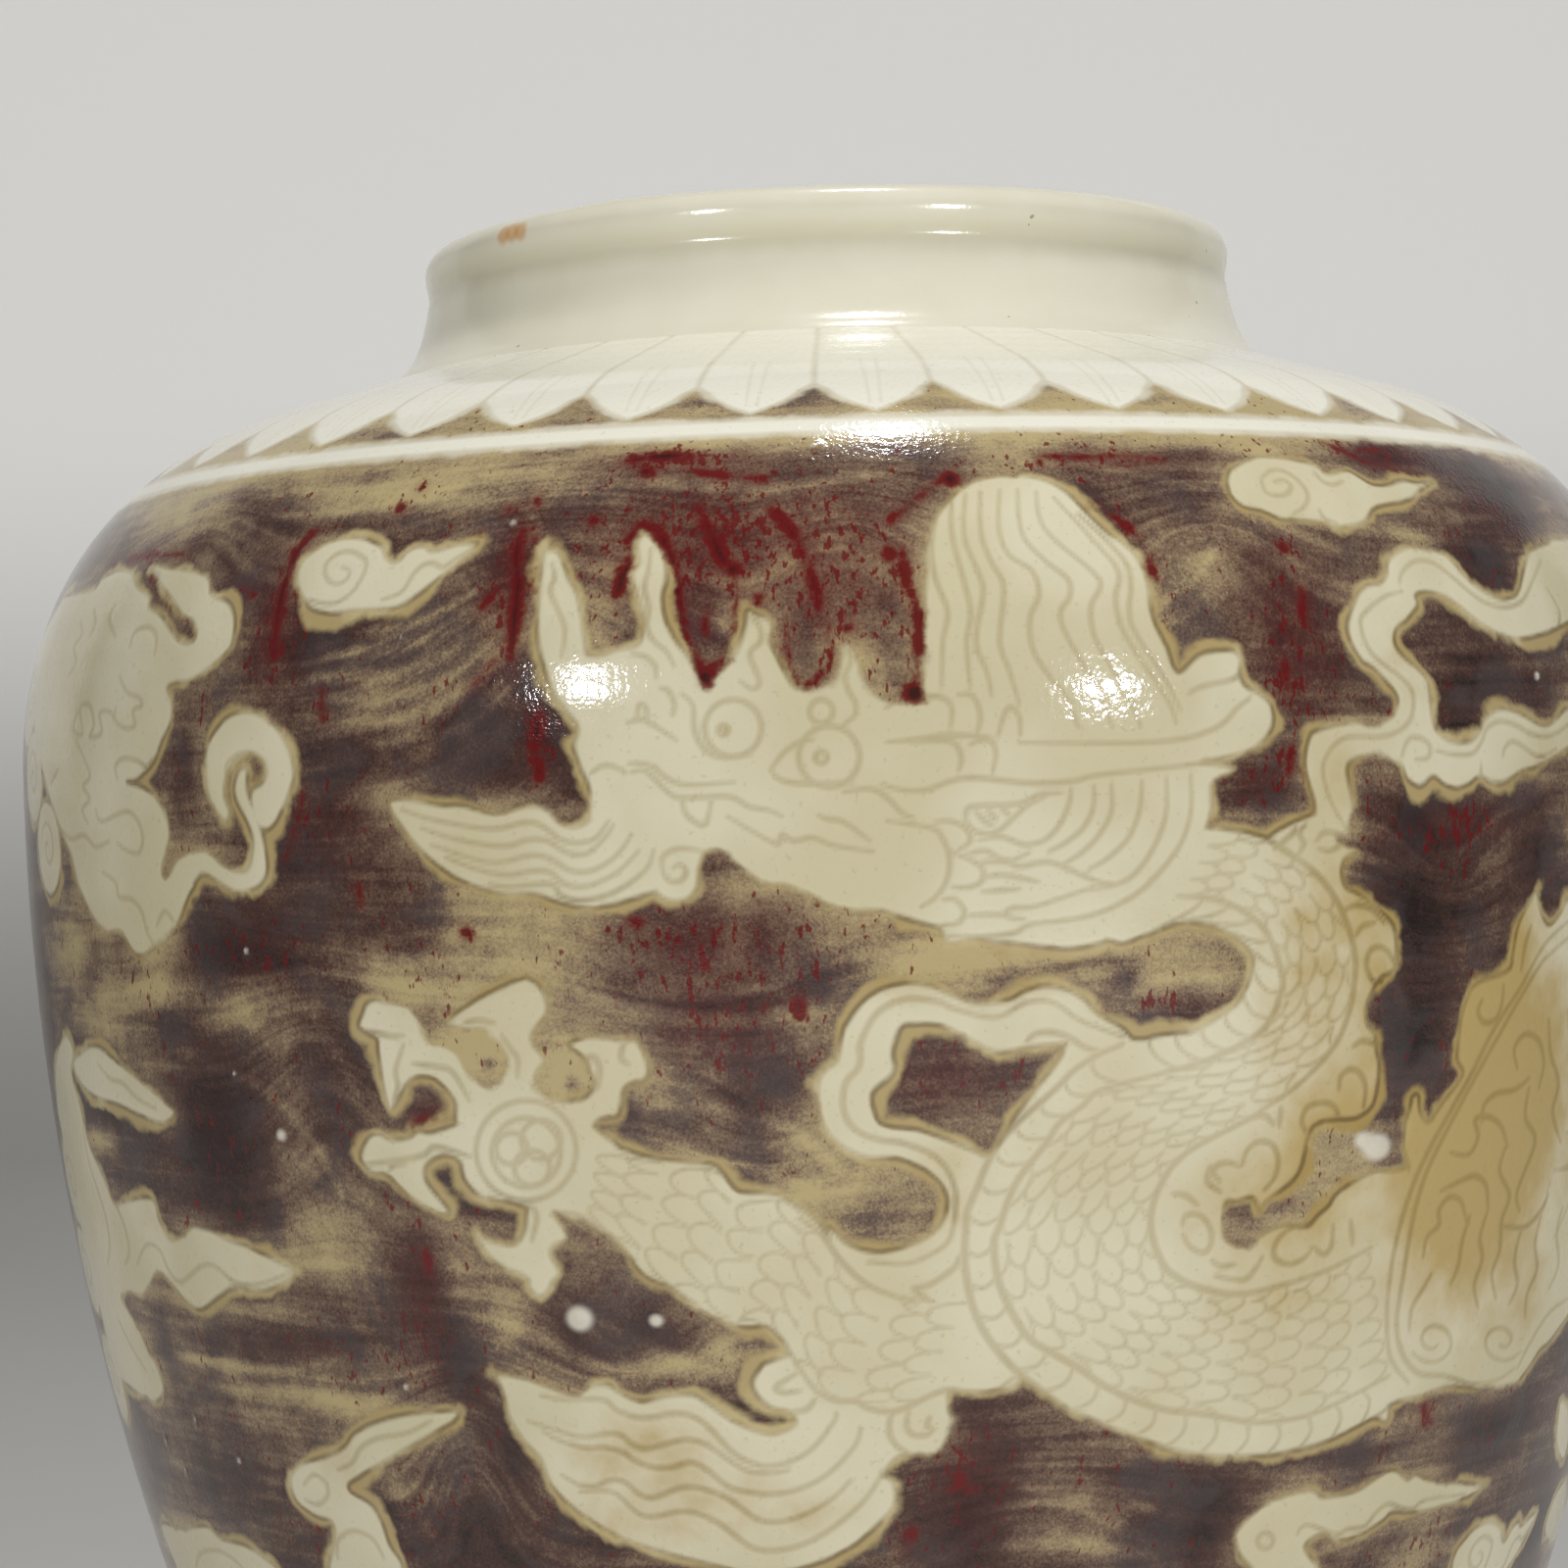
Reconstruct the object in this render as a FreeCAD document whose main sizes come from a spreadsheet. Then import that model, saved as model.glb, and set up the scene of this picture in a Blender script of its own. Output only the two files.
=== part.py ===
"""Large porcelain storage jar, put together as such a jar is: thrown sections luted to each other with slip.

The lower body carries the foot ring and takes a base disc from inside. The upper body is luted on it at the
belly, where the seam shows. The neck with its rolled lip is luted on the shoulder. Every piece is a half-section
turned about the Z axis. Lengths are in millimetres and angles in degrees, the foot stands on Z = 0 and +Z is up.
"""

import FreeCAD
import Part
import Sketcher
import os

# Driving dimensions: name, size, meaning.
DIMENSIONS = [
    ("belly_radius", 207, "outer radius at the widest point"),
    ("belly_height", 314, "height of the widest point above the foot"),
    ("belly_arc", 104, "outline radius just above the widest point"),
    ("shoulder_arc", 80, "outline radius of the shoulder"),
    ("shoulder_break", 70, "slope at which the belly arc passes into the shoulder arc, degrees"),
    ("shoulder_slope", 17, "slope of the flat shoulder round the neck, degrees"),
    ("lower_arc", 668, "outline radius of the long taper below the widest point"),
    ("waist_arc", 110, "radius of the hollow curve above the foot"),
    ("wall", 9, "wall thickness of the two body sections"),
    ("foot_height", 9, "height of the upright foot"),
    ("foot_bevel", 2, "bevel on both edges of the foot"),
    ("foot_ledge", 6, "width of the ledge that carries the base disc"),
    ("base_recess", 9, "height of the ledge above the foot"),
    ("base_thickness", 12, "thickness of the base disc"),
    ("base_step", 1.8, "how far the base disc's seat is cut in from the wall above it"),
    ("seam_drop", 29, "how far the belly seam lies below the widest point, outside"),
    ("seam_bevel", 4, "rise of the bevelled belly seam through the wall"),
    ("slip", 1, "thickness of a slip joint"),
    ("bead_reach", 2.5, "how far squeezed-out slip spreads on each side of a joint"),
    ("bead_rise", 1.4, "how far squeezed-out slip stands up"),
    ("mouth_radius", 92, "inner radius of the mouth"),
    ("neck_wall", 10.8, "thickness of the neck under the lip"),
    ("neck_flare", 4.7, "how far the neck widens down to the shoulder, outside"),
    ("neck_height", 20.6, "height of the neck from its slip joint to the lip"),
    ("throat_flare", 4, "how far the throat is wider than the mouth"),
    ("throat_height", 5, "height of the straight throat above the neck's slip joint"),
    ("throat_taper", 5, "height over which the throat narrows to the mouth"),
    ("lip_height", 12, "height of the rolled lip"),
    ("lip_crest", 6.5, "height of the lip's widest point above the lip's lower edge"),
    ("lip_overhang", 0.9, "how far the lip stands out from the neck"),
]

# Places that follow from them: name, formula, meaning. A name from DIMENSIONS is written with a leading d.
PLACES = [
    ("taper_centre", "d.belly_radius - d.lower_arc", "centre of the long taper's arcs, at the belly's height"),
    ("belly_centre", "d.belly_radius - d.belly_arc", "centre of the belly arcs, at the belly's height"),
    ("arc_step", "d.belly_arc - d.shoulder_arc", "distance between the belly's and the shoulder's centres"),
    ("shoulder_centre", "belly_centre + arc_step * sin(d.shoulder_break)", "radius of the shoulder's centre"),
    ("shoulder_level", "d.belly_height + arc_step * cos(d.shoulder_break)", "height of the shoulder's centre"),
    ("taper_arc_in", "d.lower_arc - d.wall", "inner radius of the taper's outline"),
    ("belly_arc_in", "d.belly_arc - d.wall", "inner radius of the belly's outline"),
    ("shoulder_arc_in", "d.shoulder_arc - d.wall", "inner radius of the shoulder's outline"),
    ("belly_in", "d.belly_radius - d.wall", "inner radius at the widest point"),
    ("break_out_r", "shoulder_centre + d.shoulder_arc * sin(d.shoulder_break)", "belly meets shoulder, outside"),
    ("break_out_z", "shoulder_level + d.shoulder_arc * cos(d.shoulder_break)", "belly meets shoulder, outside"),
    ("break_in_r", "shoulder_centre + shoulder_arc_in * sin(d.shoulder_break)", "belly meets shoulder, inside"),
    ("break_in_z", "shoulder_level + shoulder_arc_in * cos(d.shoulder_break)", "belly meets shoulder, inside"),
    ("flat_out_r", "shoulder_centre + d.shoulder_arc * sin(d.shoulder_slope)", "flat shoulder starts, outside"),
    ("flat_out_z", "shoulder_level + d.shoulder_arc * cos(d.shoulder_slope)", "flat shoulder starts, outside"),
    ("flat_in_r", "shoulder_centre + shoulder_arc_in * sin(d.shoulder_slope)", "flat shoulder starts, inside"),
    ("flat_in_z", "shoulder_level + shoulder_arc_in * cos(d.shoulder_slope)", "flat shoulder starts, inside"),
    ("neck_top_r", "d.mouth_radius + d.neck_wall", "neck under the lip, outside"),
    ("neck_base_r", "neck_top_r + d.neck_flare", "neck at its joint, outside"),
    ("throat_r", "d.mouth_radius + d.throat_flare", "throat, inside"),
    ("land_z", "flat_out_z + (flat_out_r - neck_base_r) * tan(d.shoulder_slope)", "flat land that carries the neck"),
    ("land_under_z", "flat_in_z + (flat_in_r - throat_r) * tan(d.shoulder_slope)", "lower edge of the throat"),
    ("neck_z", "land_z + d.slip", "underside of the neck"),
    ("throat_top_z", "neck_z + d.throat_height", "top of the straight throat"),
    ("mouth_low_z", "throat_top_z + d.throat_taper", "lower end of the mouth's bore"),
    ("groove_z", "neck_z + d.neck_height", "lower edge of the lip"),
    ("lip_r", "neck_top_r + d.lip_overhang", "lip's widest point"),
    ("lip_crest_z", "groove_z + d.lip_crest", "lip's widest point"),
    ("lip_top_z", "groove_z + d.lip_height", "top of the jar"),
    ("lip_round", "lip_top_z - lip_crest_z", "rounding of the lip's outer edge"),
    ("lip_top_r", "lip_r - lip_round", "circle along the top of the lip"),
    ("lip_round_in", "lip_top_r - d.mouth_radius", "rounding of the lip's inner edge"),
    ("lip_in_z", "lip_top_z - lip_round_in", "upper end of the mouth's bore"),
    ("lip_swell", "(d.lip_overhang^2 + d.lip_crest^2) / (2 * d.lip_overhang)", "outline radius under the lip's crest"),
    ("neck_bead_low_z", "land_z - d.bead_reach", "lower edge of the slip inside the neck joint"),
    ("neck_bead_high_z", "neck_z + d.bead_reach", "upper edge of the slip inside the neck joint"),
    ("half_bead", "d.slip / 2 + d.bead_reach", "half the width of the squeezed-out slip"),
    ("bead_arc", "(half_bead^2 + d.bead_rise^2) / (2 * d.bead_rise)", "section radius of the squeezed-out slip"),
    ("seam_low_z", "d.belly_height - d.seam_drop", "top edge of the lower body, outside"),
    ("seam_high_z", "seam_low_z + d.slip", "bottom edge of the upper body, outside"),
    ("seam_low_in_z", "seam_low_z + d.seam_bevel", "top edge of the lower body, inside"),
    ("seam_high_in_z", "seam_low_in_z + d.slip", "bottom edge of the upper body, inside"),
    ("seam_bead_low_z", "seam_low_in_z - d.bead_reach", "lower edge of the slip inside the seam"),
    ("seam_bead_high_z", "seam_high_in_z + d.bead_reach", "upper edge of the slip inside the seam"),
    ("disc_low_z", "d.base_recess + d.slip", "underside of the base disc"),
    ("disc_top_z", "disc_low_z + d.base_thickness", "floor of the jar"),
    ("waist_reach", "d.lower_arc + d.waist_arc", "distance between the taper's and the waist's centres"),
    ("waist_drop", "d.belly_height - d.foot_height", "how far the waist's centre lies below the taper's"),
    ("waist_run", "sqrt(waist_reach^2 - waist_drop^2)", "how far the waist's centre lies outside the taper's"),
    ("waist_r", "taper_centre + waist_run * d.lower_arc / waist_reach", "taper meets waist"),
    ("waist_z", "d.belly_height - waist_drop * d.lower_arc / waist_reach", "taper meets waist"),
    ("foot_r", "taper_centre + waist_run - d.waist_arc", "foot, outside"),
    ("foot_edge_r", "foot_r - d.foot_bevel", "outer edge of the standing face"),
]


def taper_place(name, height, depth, meaning):
    """A place on the long taper at the height of another place, on the outside or the inside of the wall."""
    return name, f"taper_centre + sqrt({depth}^2 - (d.belly_height - {height})^2)", meaning


OUTSIDE, INSIDE = "d.lower_arc", "taper_arc_in"
PLACES += [
    taper_place("seam_low_r", "seam_low_z", OUTSIDE, "top edge of the lower body, outside"),
    taper_place("seam_high_r", "seam_high_z", OUTSIDE, "bottom edge of the upper body, outside"),
    taper_place("seam_low_in_r", "seam_low_in_z", INSIDE, "top edge of the lower body, inside"),
    taper_place("seam_high_in_r", "seam_high_in_z", INSIDE, "bottom edge of the upper body, inside"),
    taper_place("seam_bead_low_r", "seam_bead_low_z", INSIDE, "lower edge of the slip inside the seam"),
    taper_place("seam_bead_high_r", "seam_bead_high_z", INSIDE, "upper edge of the slip inside the seam"),
    taper_place("floor_r", "disc_top_z", INSIDE, "wall at the floor, inside"),
    ("seat_r", "floor_r - d.base_step", "wall of the base disc's seat"),
    ("ledge_r", "seat_r - d.foot_ledge", "foot, inside"),
    ("ledge_edge_r", "ledge_r + d.foot_bevel", "inner edge of the standing face"),
    ("disc_r", "seat_r - d.slip", "edge of the base disc"),
    ("disc_bead_r", "disc_r - 2 * d.bead_reach", "inner edge of the slip on the floor"),
]

doc = FreeCAD.newDocument("storage_jar")
sheet = doc.addObject("Spreadsheet::Sheet", "Dims")
places = doc.addObject("Spreadsheet::Sheet", "Places")


def fill(target, rows, text):
    """Writes rows of name, entry and meaning into a sheet and gives each entry its name as alias."""
    for line, (name, entry, meaning) in enumerate(rows, start=1):
        target.set(f"A{line}", name)
        target.set(f"B{line}", text(entry))
        target.set(f"C{line}", meaning)
        target.setAlias(f"B{line}", name)
    doc.recompute()


fill(sheet, DIMENSIONS, str)
fill(places, PLACES, lambda formula: "=" + formula.replace("d.", "Dims."))

DRIVING = {name for name, size, meaning in DIMENSIONS}


def cell(name):
    """The sheet cell with that name, as an expression writes it."""
    return f"Dims.{name}" if name in DRIVING else f"Places.{name}"


def size_of(name):
    """The size in that cell now, with zero for the axis and the floor."""
    if name in (AXIS, FLOOR):
        return 0.0
    return float(sheet.get(name) if name in DRIVING else places.get(name))


# Corners that lie on the sketch's own axes.
AXIS, FLOOR = "axis", "floor"

# Directions in which an arc may bulge.
OUT, IN, UP = FreeCAD.Vector(1, 0, 0), FreeCAD.Vector(-1, 0, 0), FreeCAD.Vector(0, 1, 0)


def corner(radius, height, arc=None, bulge=OUT):
    """A corner of a half-section. The edge to the next corner is straight, or an arc that bulges one way."""
    return {"radius": radius, "height": height, "arc": arc, "bulge": bulge}


def point_on_arc(start, end, radius, bulge):
    """Middle of the short arc between two points."""
    half = (end - start) * 0.5
    square = FreeCAD.Vector(half.y, -half.x, 0).normalize()
    if square.dot(bulge) < 0:
        square = -square
    rise = radius - (radius**2 - half.Length**2) ** 0.5
    return start + half + square * rise


def bind(sketch, kind, name, size, *places_in_sketch):
    """Adds a constraint whose size is the cell with that name."""
    number = sketch.addConstraint(Sketcher.Constraint(kind, *places_in_sketch, size_of(size)))
    sketch.renameConstraint(number, name)
    sketch.setExpression(f"Constraints.{name}", cell(size))


def draw_section(sketch, corners):
    """Draws the closed half-section and ties every corner and arc to its cells."""
    points = [FreeCAD.Vector(size_of(c["radius"]), size_of(c["height"]), 0) for c in corners]
    first_end = []
    for number, c in enumerate(corners):
        start, end = points[number], points[(number + 1) % len(points)]
        if c["arc"] is None:
            sketch.addGeometry(Part.LineSegment(start, end), False)
            first_end.append(1)
            continue
        sketch.addGeometry(Part.Arc(start, point_on_arc(start, end, size_of(c["arc"]), c["bulge"]), end), False)
        bind(sketch, "Radius", f"bend_{number}", c["arc"], number)
        drawn_from = sketch.getPoint(number, 1)
        first_end.append(1 if drawn_from.distanceToPoint(start) < drawn_from.distanceToPoint(end) else 2)
    for number, c in enumerate(corners):
        before = (number - 1) % len(corners)
        here = (number, first_end[number])
        sketch.addConstraint(Sketcher.Constraint("Coincident", before, 3 - first_end[before], *here))
        if c["radius"] == AXIS:
            sketch.addConstraint(Sketcher.Constraint("PointOnObject", *here, -2))
        else:
            bind(sketch, "DistanceX", f"radius_{number}", c["radius"], -1, 1, *here)
        if c["height"] == FLOOR:
            sketch.addConstraint(Sketcher.Constraint("PointOnObject", *here, -1))
        else:
            bind(sketch, "DistanceY", f"height_{number}", c["height"], -1, 1, *here)


def turned_piece(label, corners):
    """A body made by turning a half-section about the Z axis."""
    body = doc.addObject("PartDesign::Body", label)
    body.Label = label
    body.Placement = FreeCAD.Placement()
    sketch = body.newObject("Sketcher::SketchObject", f"{label}_section")
    upright = next(plane for plane in body.Origin.OriginFeatures if plane.Role == "XZ_Plane")
    sketch.AttachmentSupport = [(upright, "")]
    sketch.MapMode = "FlatFace"
    draw_section(sketch, corners)
    doc.recompute()
    turned = body.newObject("PartDesign::Revolution", f"{label}_turned")
    turned.Profile = sketch
    turned.ReferenceAxis = (sketch, ["V_Axis"])
    turned.Angle = 360
    body.Tip = turned
    doc.recompute()
    return body


def lower_body():
    """Lower half: long taper, hollow waist, foot ring, and the ledge and seat for the base disc."""
    return turned_piece("lower_body", [
        corner("seam_low_r", "seam_low_z", "lower_arc"),
        corner("waist_r", "waist_z", "waist_arc", IN),
        corner("foot_r", "foot_height"),
        corner("foot_r", "foot_bevel"),
        corner("foot_edge_r", FLOOR),
        corner("ledge_edge_r", FLOOR),
        corner("ledge_r", "foot_bevel"),
        corner("ledge_r", "base_recess"),
        corner("seat_r", "base_recess"),
        corner("seat_r", "disc_top_z"),
        corner("floor_r", "disc_top_z", "taper_arc_in"),
        corner("seam_low_in_r", "seam_low_in_z"),
    ])


def base_disc():
    """Thrown disc that closes the bottom, set in a little above the floor."""
    return turned_piece("base_disc", [
        corner(AXIS, "disc_low_z"),
        corner("disc_r", "disc_low_z"),
        corner("disc_r", "disc_top_z"),
        corner(AXIS, "disc_top_z"),
    ])


def base_luting_slip():
    """Slip under the rim of the base disc and round its edge, smeared up into a low coil on the floor."""
    return turned_piece("base_luting_slip", [
        corner("ledge_r", "base_recess"),
        corner("seat_r", "base_recess"),
        corner("seat_r", "disc_top_z", "bead_arc", UP),
        corner("disc_bead_r", "disc_top_z"),
        corner("disc_r", "disc_top_z"),
        corner("disc_r", "disc_low_z"),
        corner("ledge_r", "disc_low_z"),
    ])


def belly_luting_slip():
    """Slip in the bevelled belly seam, with what was squeezed out on the inside."""
    return turned_piece("belly_luting_slip", [
        corner("seam_low_r", "seam_low_z", "lower_arc"),
        corner("seam_high_r", "seam_high_z"),
        corner("seam_high_in_r", "seam_high_in_z", "taper_arc_in"),
        corner("seam_bead_high_r", "seam_bead_high_z", "bead_arc", IN),
        corner("seam_bead_low_r", "seam_bead_low_z", "taper_arc_in"),
        corner("seam_low_in_r", "seam_low_in_z"),
    ])


def upper_body():
    """Upper half: belly, shoulder and the flat land that carries the neck."""
    return turned_piece("upper_body", [
        corner("seam_high_r", "seam_high_z", "lower_arc"),
        corner("belly_radius", "belly_height", "belly_arc"),
        corner("break_out_r", "break_out_z", "shoulder_arc"),
        corner("flat_out_r", "flat_out_z"),
        corner("neck_base_r", "land_z"),
        corner("throat_r", "land_z"),
        corner("throat_r", "land_under_z"),
        corner("flat_in_r", "flat_in_z", "shoulder_arc_in"),
        corner("break_in_r", "break_in_z", "belly_arc_in"),
        corner("belly_in", "belly_height", "taper_arc_in"),
        corner("seam_high_in_r", "seam_high_in_z"),
    ])


def neck_luting_slip():
    """Slip between the shoulder's land and the neck, with what was squeezed out into the throat."""
    return turned_piece("neck_luting_slip", [
        corner("neck_base_r", "land_z"),
        corner("neck_base_r", "neck_z"),
        corner("throat_r", "neck_z"),
        corner("throat_r", "neck_bead_high_z", "bead_arc", IN),
        corner("throat_r", "neck_bead_low_z"),
        corner("throat_r", "land_z"),
    ])


def neck_ring():
    """Short neck with its rolled lip and the straight bore of the mouth."""
    return turned_piece("neck_ring", [
        corner("neck_base_r", "neck_z"),
        corner("neck_top_r", "groove_z", "lip_swell"),
        corner("lip_r", "lip_crest_z", "lip_round"),
        corner("lip_top_r", "lip_top_z", "lip_round_in", UP),
        corner("mouth_radius", "lip_in_z"),
        corner("mouth_radius", "mouth_low_z"),
        corner("throat_r", "throat_top_z"),
        corner("throat_r", "neck_z"),
    ])


pieces = [
    lower_body(),
    base_disc(),
    base_luting_slip(),
    belly_luting_slip(),
    upper_body(),
    neck_luting_slip(),
    neck_ring(),
]
doc.recompute()

for thing in doc.Objects:
    if "Invalid" in thing.State or "Error" in thing.State:
        raise RuntimeError(f"{thing.Label} failed: {thing.State}")
for piece in pieces:
    if piece.Shape.isNull() or not piece.Shape.isValid() or len(piece.Shape.Solids) != 1:
        raise RuntimeError(f"{piece.Label} is not one sound solid")

os.makedirs("parts", exist_ok=True)
for piece in pieces:
    piece.Shape.exportStep(f"parts/{piece.Label}.step")
    box = piece.Shape.optimalBoundingBox()
    print(f"{piece.Label}: {piece.Shape.Volume / 1000:.1f} cm3, Z {box.ZMin:.2f} to {box.ZMax:.2f} mm")
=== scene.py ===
import math

import bpy
import numpy as np
from mathutils import Matrix, Vector


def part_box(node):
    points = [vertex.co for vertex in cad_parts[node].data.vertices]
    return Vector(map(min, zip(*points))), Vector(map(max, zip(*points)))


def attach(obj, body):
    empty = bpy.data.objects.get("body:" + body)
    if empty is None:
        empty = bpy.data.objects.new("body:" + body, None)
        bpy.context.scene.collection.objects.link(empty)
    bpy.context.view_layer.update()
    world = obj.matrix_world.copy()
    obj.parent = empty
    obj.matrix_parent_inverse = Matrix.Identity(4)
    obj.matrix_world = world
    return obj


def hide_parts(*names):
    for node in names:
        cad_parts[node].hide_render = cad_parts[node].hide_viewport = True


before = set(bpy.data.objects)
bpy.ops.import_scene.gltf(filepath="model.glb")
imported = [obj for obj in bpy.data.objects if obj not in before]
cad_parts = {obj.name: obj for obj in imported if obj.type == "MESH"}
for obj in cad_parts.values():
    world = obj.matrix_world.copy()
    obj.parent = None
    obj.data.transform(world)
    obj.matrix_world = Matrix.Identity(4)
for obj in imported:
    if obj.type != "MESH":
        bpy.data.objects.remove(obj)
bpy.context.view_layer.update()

print("frame loaded:", list(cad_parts))

# the camera, as the photograph was taken: metres and degrees
photoCamera = {
    "place": (0.0, -0.9052, 0.30285),
    "yaw": -0.908,
    "pitch": 0.251,
    "roll": -1.536,
    "lens": 80.0,
    "sensor": 36.0,
    "pixels": 1600,
    "pixelsPerMetre": 5090,        # on the front of the wall
    "depths": (0.66, 0.98, 321),   # where a sight line is looked along: near, far and how many places
}


# right, up and forward of the camera: yaw turns about Z, pitch lifts, roll turns about the view
def cameraAxes():
    yaw, pitch, roll = (math.radians(photoCamera[key]) for key in ("yaw", "pitch", "roll"))
    level = math.cos(pitch)
    forward = np.array([math.sin(yaw) * level, math.cos(yaw) * level, math.sin(pitch)])
    right = np.array([math.cos(yaw), -math.sin(yaw), 0.0])
    up = np.cross(right, forward)
    turnedRight = math.cos(roll) * right + math.sin(roll) * up
    turnedUp = math.cos(roll) * up - math.sin(roll) * right
    return turnedRight, turnedUp, forward


# a new object in the scene
def addObject(name, data):
    thing = bpy.data.objects.new(name, data)
    bpy.context.scene.collection.objects.link(thing)
    return thing


def addCamera():
    data = bpy.data.cameras.new("photoCamera")
    data.lens = photoCamera["lens"]
    data.sensor_width = photoCamera["sensor"]
    camera = addObject("photoCamera", data)
    right, up, forward = cameraAxes()
    turn = np.eye(4)
    turn[:3, 0], turn[:3, 1], turn[:3, 2], turn[:3, 3] = right, up, -forward, photoCamera["place"]
    camera.matrix_world = Matrix(turn.tolist())
    bpy.context.scene.camera = camera


# the jar's section, in metres; radii and heights that the frame knows come from its boxes
jar = {
    "bellyRadius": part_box("upper_body")[1][0],
    "landHeight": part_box("upper_body")[1][2],
    "neckBase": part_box("neck_luting_slip")[1][0],
    "seamLow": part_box("belly_luting_slip")[0][2],
    "slip": 0.001,
    "seamDrop": 0.029,
    "seamBevel": 0.004,
    "bellyArc": 0.104,
    "shoulderArc": 0.080,
    "shoulderBreak": 70.0,
    "shoulderSlope": 17.0,
    "lowerArc": 0.668,
    "waistArc": 0.110,
    "footHeight": 0.009,
    "footBevel": 0.002,
    "wall": 0.009,
    "throat": 0.096,
    "footLedge": 0.006,
}
jar["bellyHeight"] = jar["seamLow"] + jar["seamDrop"]
jar["seamHigh"] = jar["seamLow"] + jar["slip"]


# points of a circular arc: centre plus radius times (cos, sin) of an even run of angles, in degrees
def arc(centre, radius, start, end, count=400):
    angle = np.radians(np.linspace(start, end, count))
    return np.stack([centre[0] + radius * np.cos(angle), centre[1] + radius * np.sin(angle)], 1)


# centres of the belly's and the shoulder's arcs, and the angle in degrees at which one passes into the other
def upperArcs():
    breakAngle = 90 - jar["shoulderBreak"]
    bellyCentre = np.array([jar["bellyRadius"] - jar["bellyArc"], jar["bellyHeight"]])
    toward = np.array([math.cos(math.radians(breakAngle)), math.sin(math.radians(breakAngle))])
    return bellyCentre, bellyCentre + (jar["bellyArc"] - jar["shoulderArc"]) * toward, breakAngle


# outer section from the foot's edge to the neck: bevel, hollow waist, taper, belly, shoulder and its slope
def outerSection():
    reach = jar["lowerArc"] + jar["waistArc"]
    drop = jar["bellyHeight"] - jar["footHeight"]
    lean = math.degrees(math.asin(drop / reach))
    taperCentre = np.array([jar["bellyRadius"] - jar["lowerArc"], jar["bellyHeight"]])
    waistCentre = np.array([taperCentre[0] + math.sqrt(reach**2 - drop**2), jar["footHeight"]])
    footRadius = waistCentre[0] - jar["waistArc"]
    bellyCentre, shoulderCentre, breakAngle = upperArcs()
    runs = [
        np.array([[footRadius - jar["footBevel"], 0.0], [footRadius, jar["footBevel"]]]),
        arc(waistCentre, jar["waistArc"], 180, 180 - lean),
        arc(taperCentre, jar["lowerArc"], -lean, 0, 1200),
        arc(bellyCentre, jar["bellyArc"], 0, breakAngle),
        arc(shoulderCentre, jar["shoulderArc"], breakAngle, 90 - jar["shoulderSlope"]),
        np.array([[jar["neckBase"], jar["landHeight"]]]),
    ]
    line = np.concatenate([runs[0]] + [run[1:] if len(run) > 1 else run for run in runs[1:]])
    step = np.hypot(*np.diff(line, axis=0).T)
    return line[:, 0], line[:, 1], np.concatenate([[0.0], np.cumsum(step)])


sectionR, sectionZ, sectionS = outerSection()  # radius, height and length along the section
print("section length", round(float(sectionS[-1]), 4))

# the wall's grid: six sectors round, finer in front, and rows, finer above the photograph's lower edge;
# cells and heights in metres, sectors in degrees
wallGrid = {
    "sectorEdges": (-90, -30, 30, 90, 150, 210, 270),
    "sectorCells": (300, 300, 300, 220, 220, 220),
    "fineRow": 0.00075,
    "coarseRow": 0.0018,
    "coarseBelow": 0.115,
    "slipCells": 2,
    "innerRows": 14,
}


def evenRows(low, high, cell):
    return np.linspace(low, high, max(2, round((high - low) / cell) + 1))


def lengthAt(height):
    return float(np.interp(height, sectionZ, sectionS))


edges, cells = wallGrid["sectorEdges"], wallGrid["sectorCells"]
columnAngle = np.radians(np.concatenate(
    [np.linspace(a, b, n, endpoint=False) for a, b, n in zip(edges, edges[1:], cells)] + [[edges[-1]]]
))
columnStart = np.concatenate([[0], np.cumsum(cells)])
lowRows = evenRows(0.0, lengthAt(wallGrid["coarseBelow"]), wallGrid["coarseRow"])
midRows = evenRows(lowRows[-1], lengthAt(jar["seamLow"]), wallGrid["fineRow"])
slipRows = np.linspace(midRows[-1], lengthAt(jar["seamHigh"]), wallGrid["slipCells"] + 1)
highRows = evenRows(slipRows[-1], sectionS[-1], wallGrid["fineRow"])
rowLength = np.concatenate([lowRows, midRows[1:], slipRows[1:], highRows[1:]])
rowSeamLow = len(lowRows) + len(midRows) - 2
rowSeamHigh = rowSeamLow + wallGrid["slipCells"]
rowRadius = np.interp(rowLength, sectionS, sectionR)
rowHeight = np.interp(rowLength, sectionS, sectionZ)
print("grid", len(rowLength), "rows by", len(columnAngle), "columns")

# what is drawn on the wall, one number for each grid point, in metres or as a share
farOff = 0.03  # a distance too great to matter
blank = np.ones((len(rowLength), len(columnAngle)))
wall = {
    "reserve": -farOff * blank,  # distance into what is left pale, negative in the coloured ground
    "cut": farOff * blank,       # distance from the nearest cut line
    "drip": farOff * blank,      # distance from the nearest red run
    "stroke": farOff * blank,    # distance from the nearest pale brush stroke
    "tone": 0.0 * blank,         # how dark the ground is
    "red": 0.0 * blank,          # how thick the red specks are
    "warm": 0.0 * blank,         # how tan the pale glaze is
    "blob": 0.0 * blank,         # lumps of thick white glaze
    "sweep": 0.0 * blank,        # how far the brush's streaks are carried up
}


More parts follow.
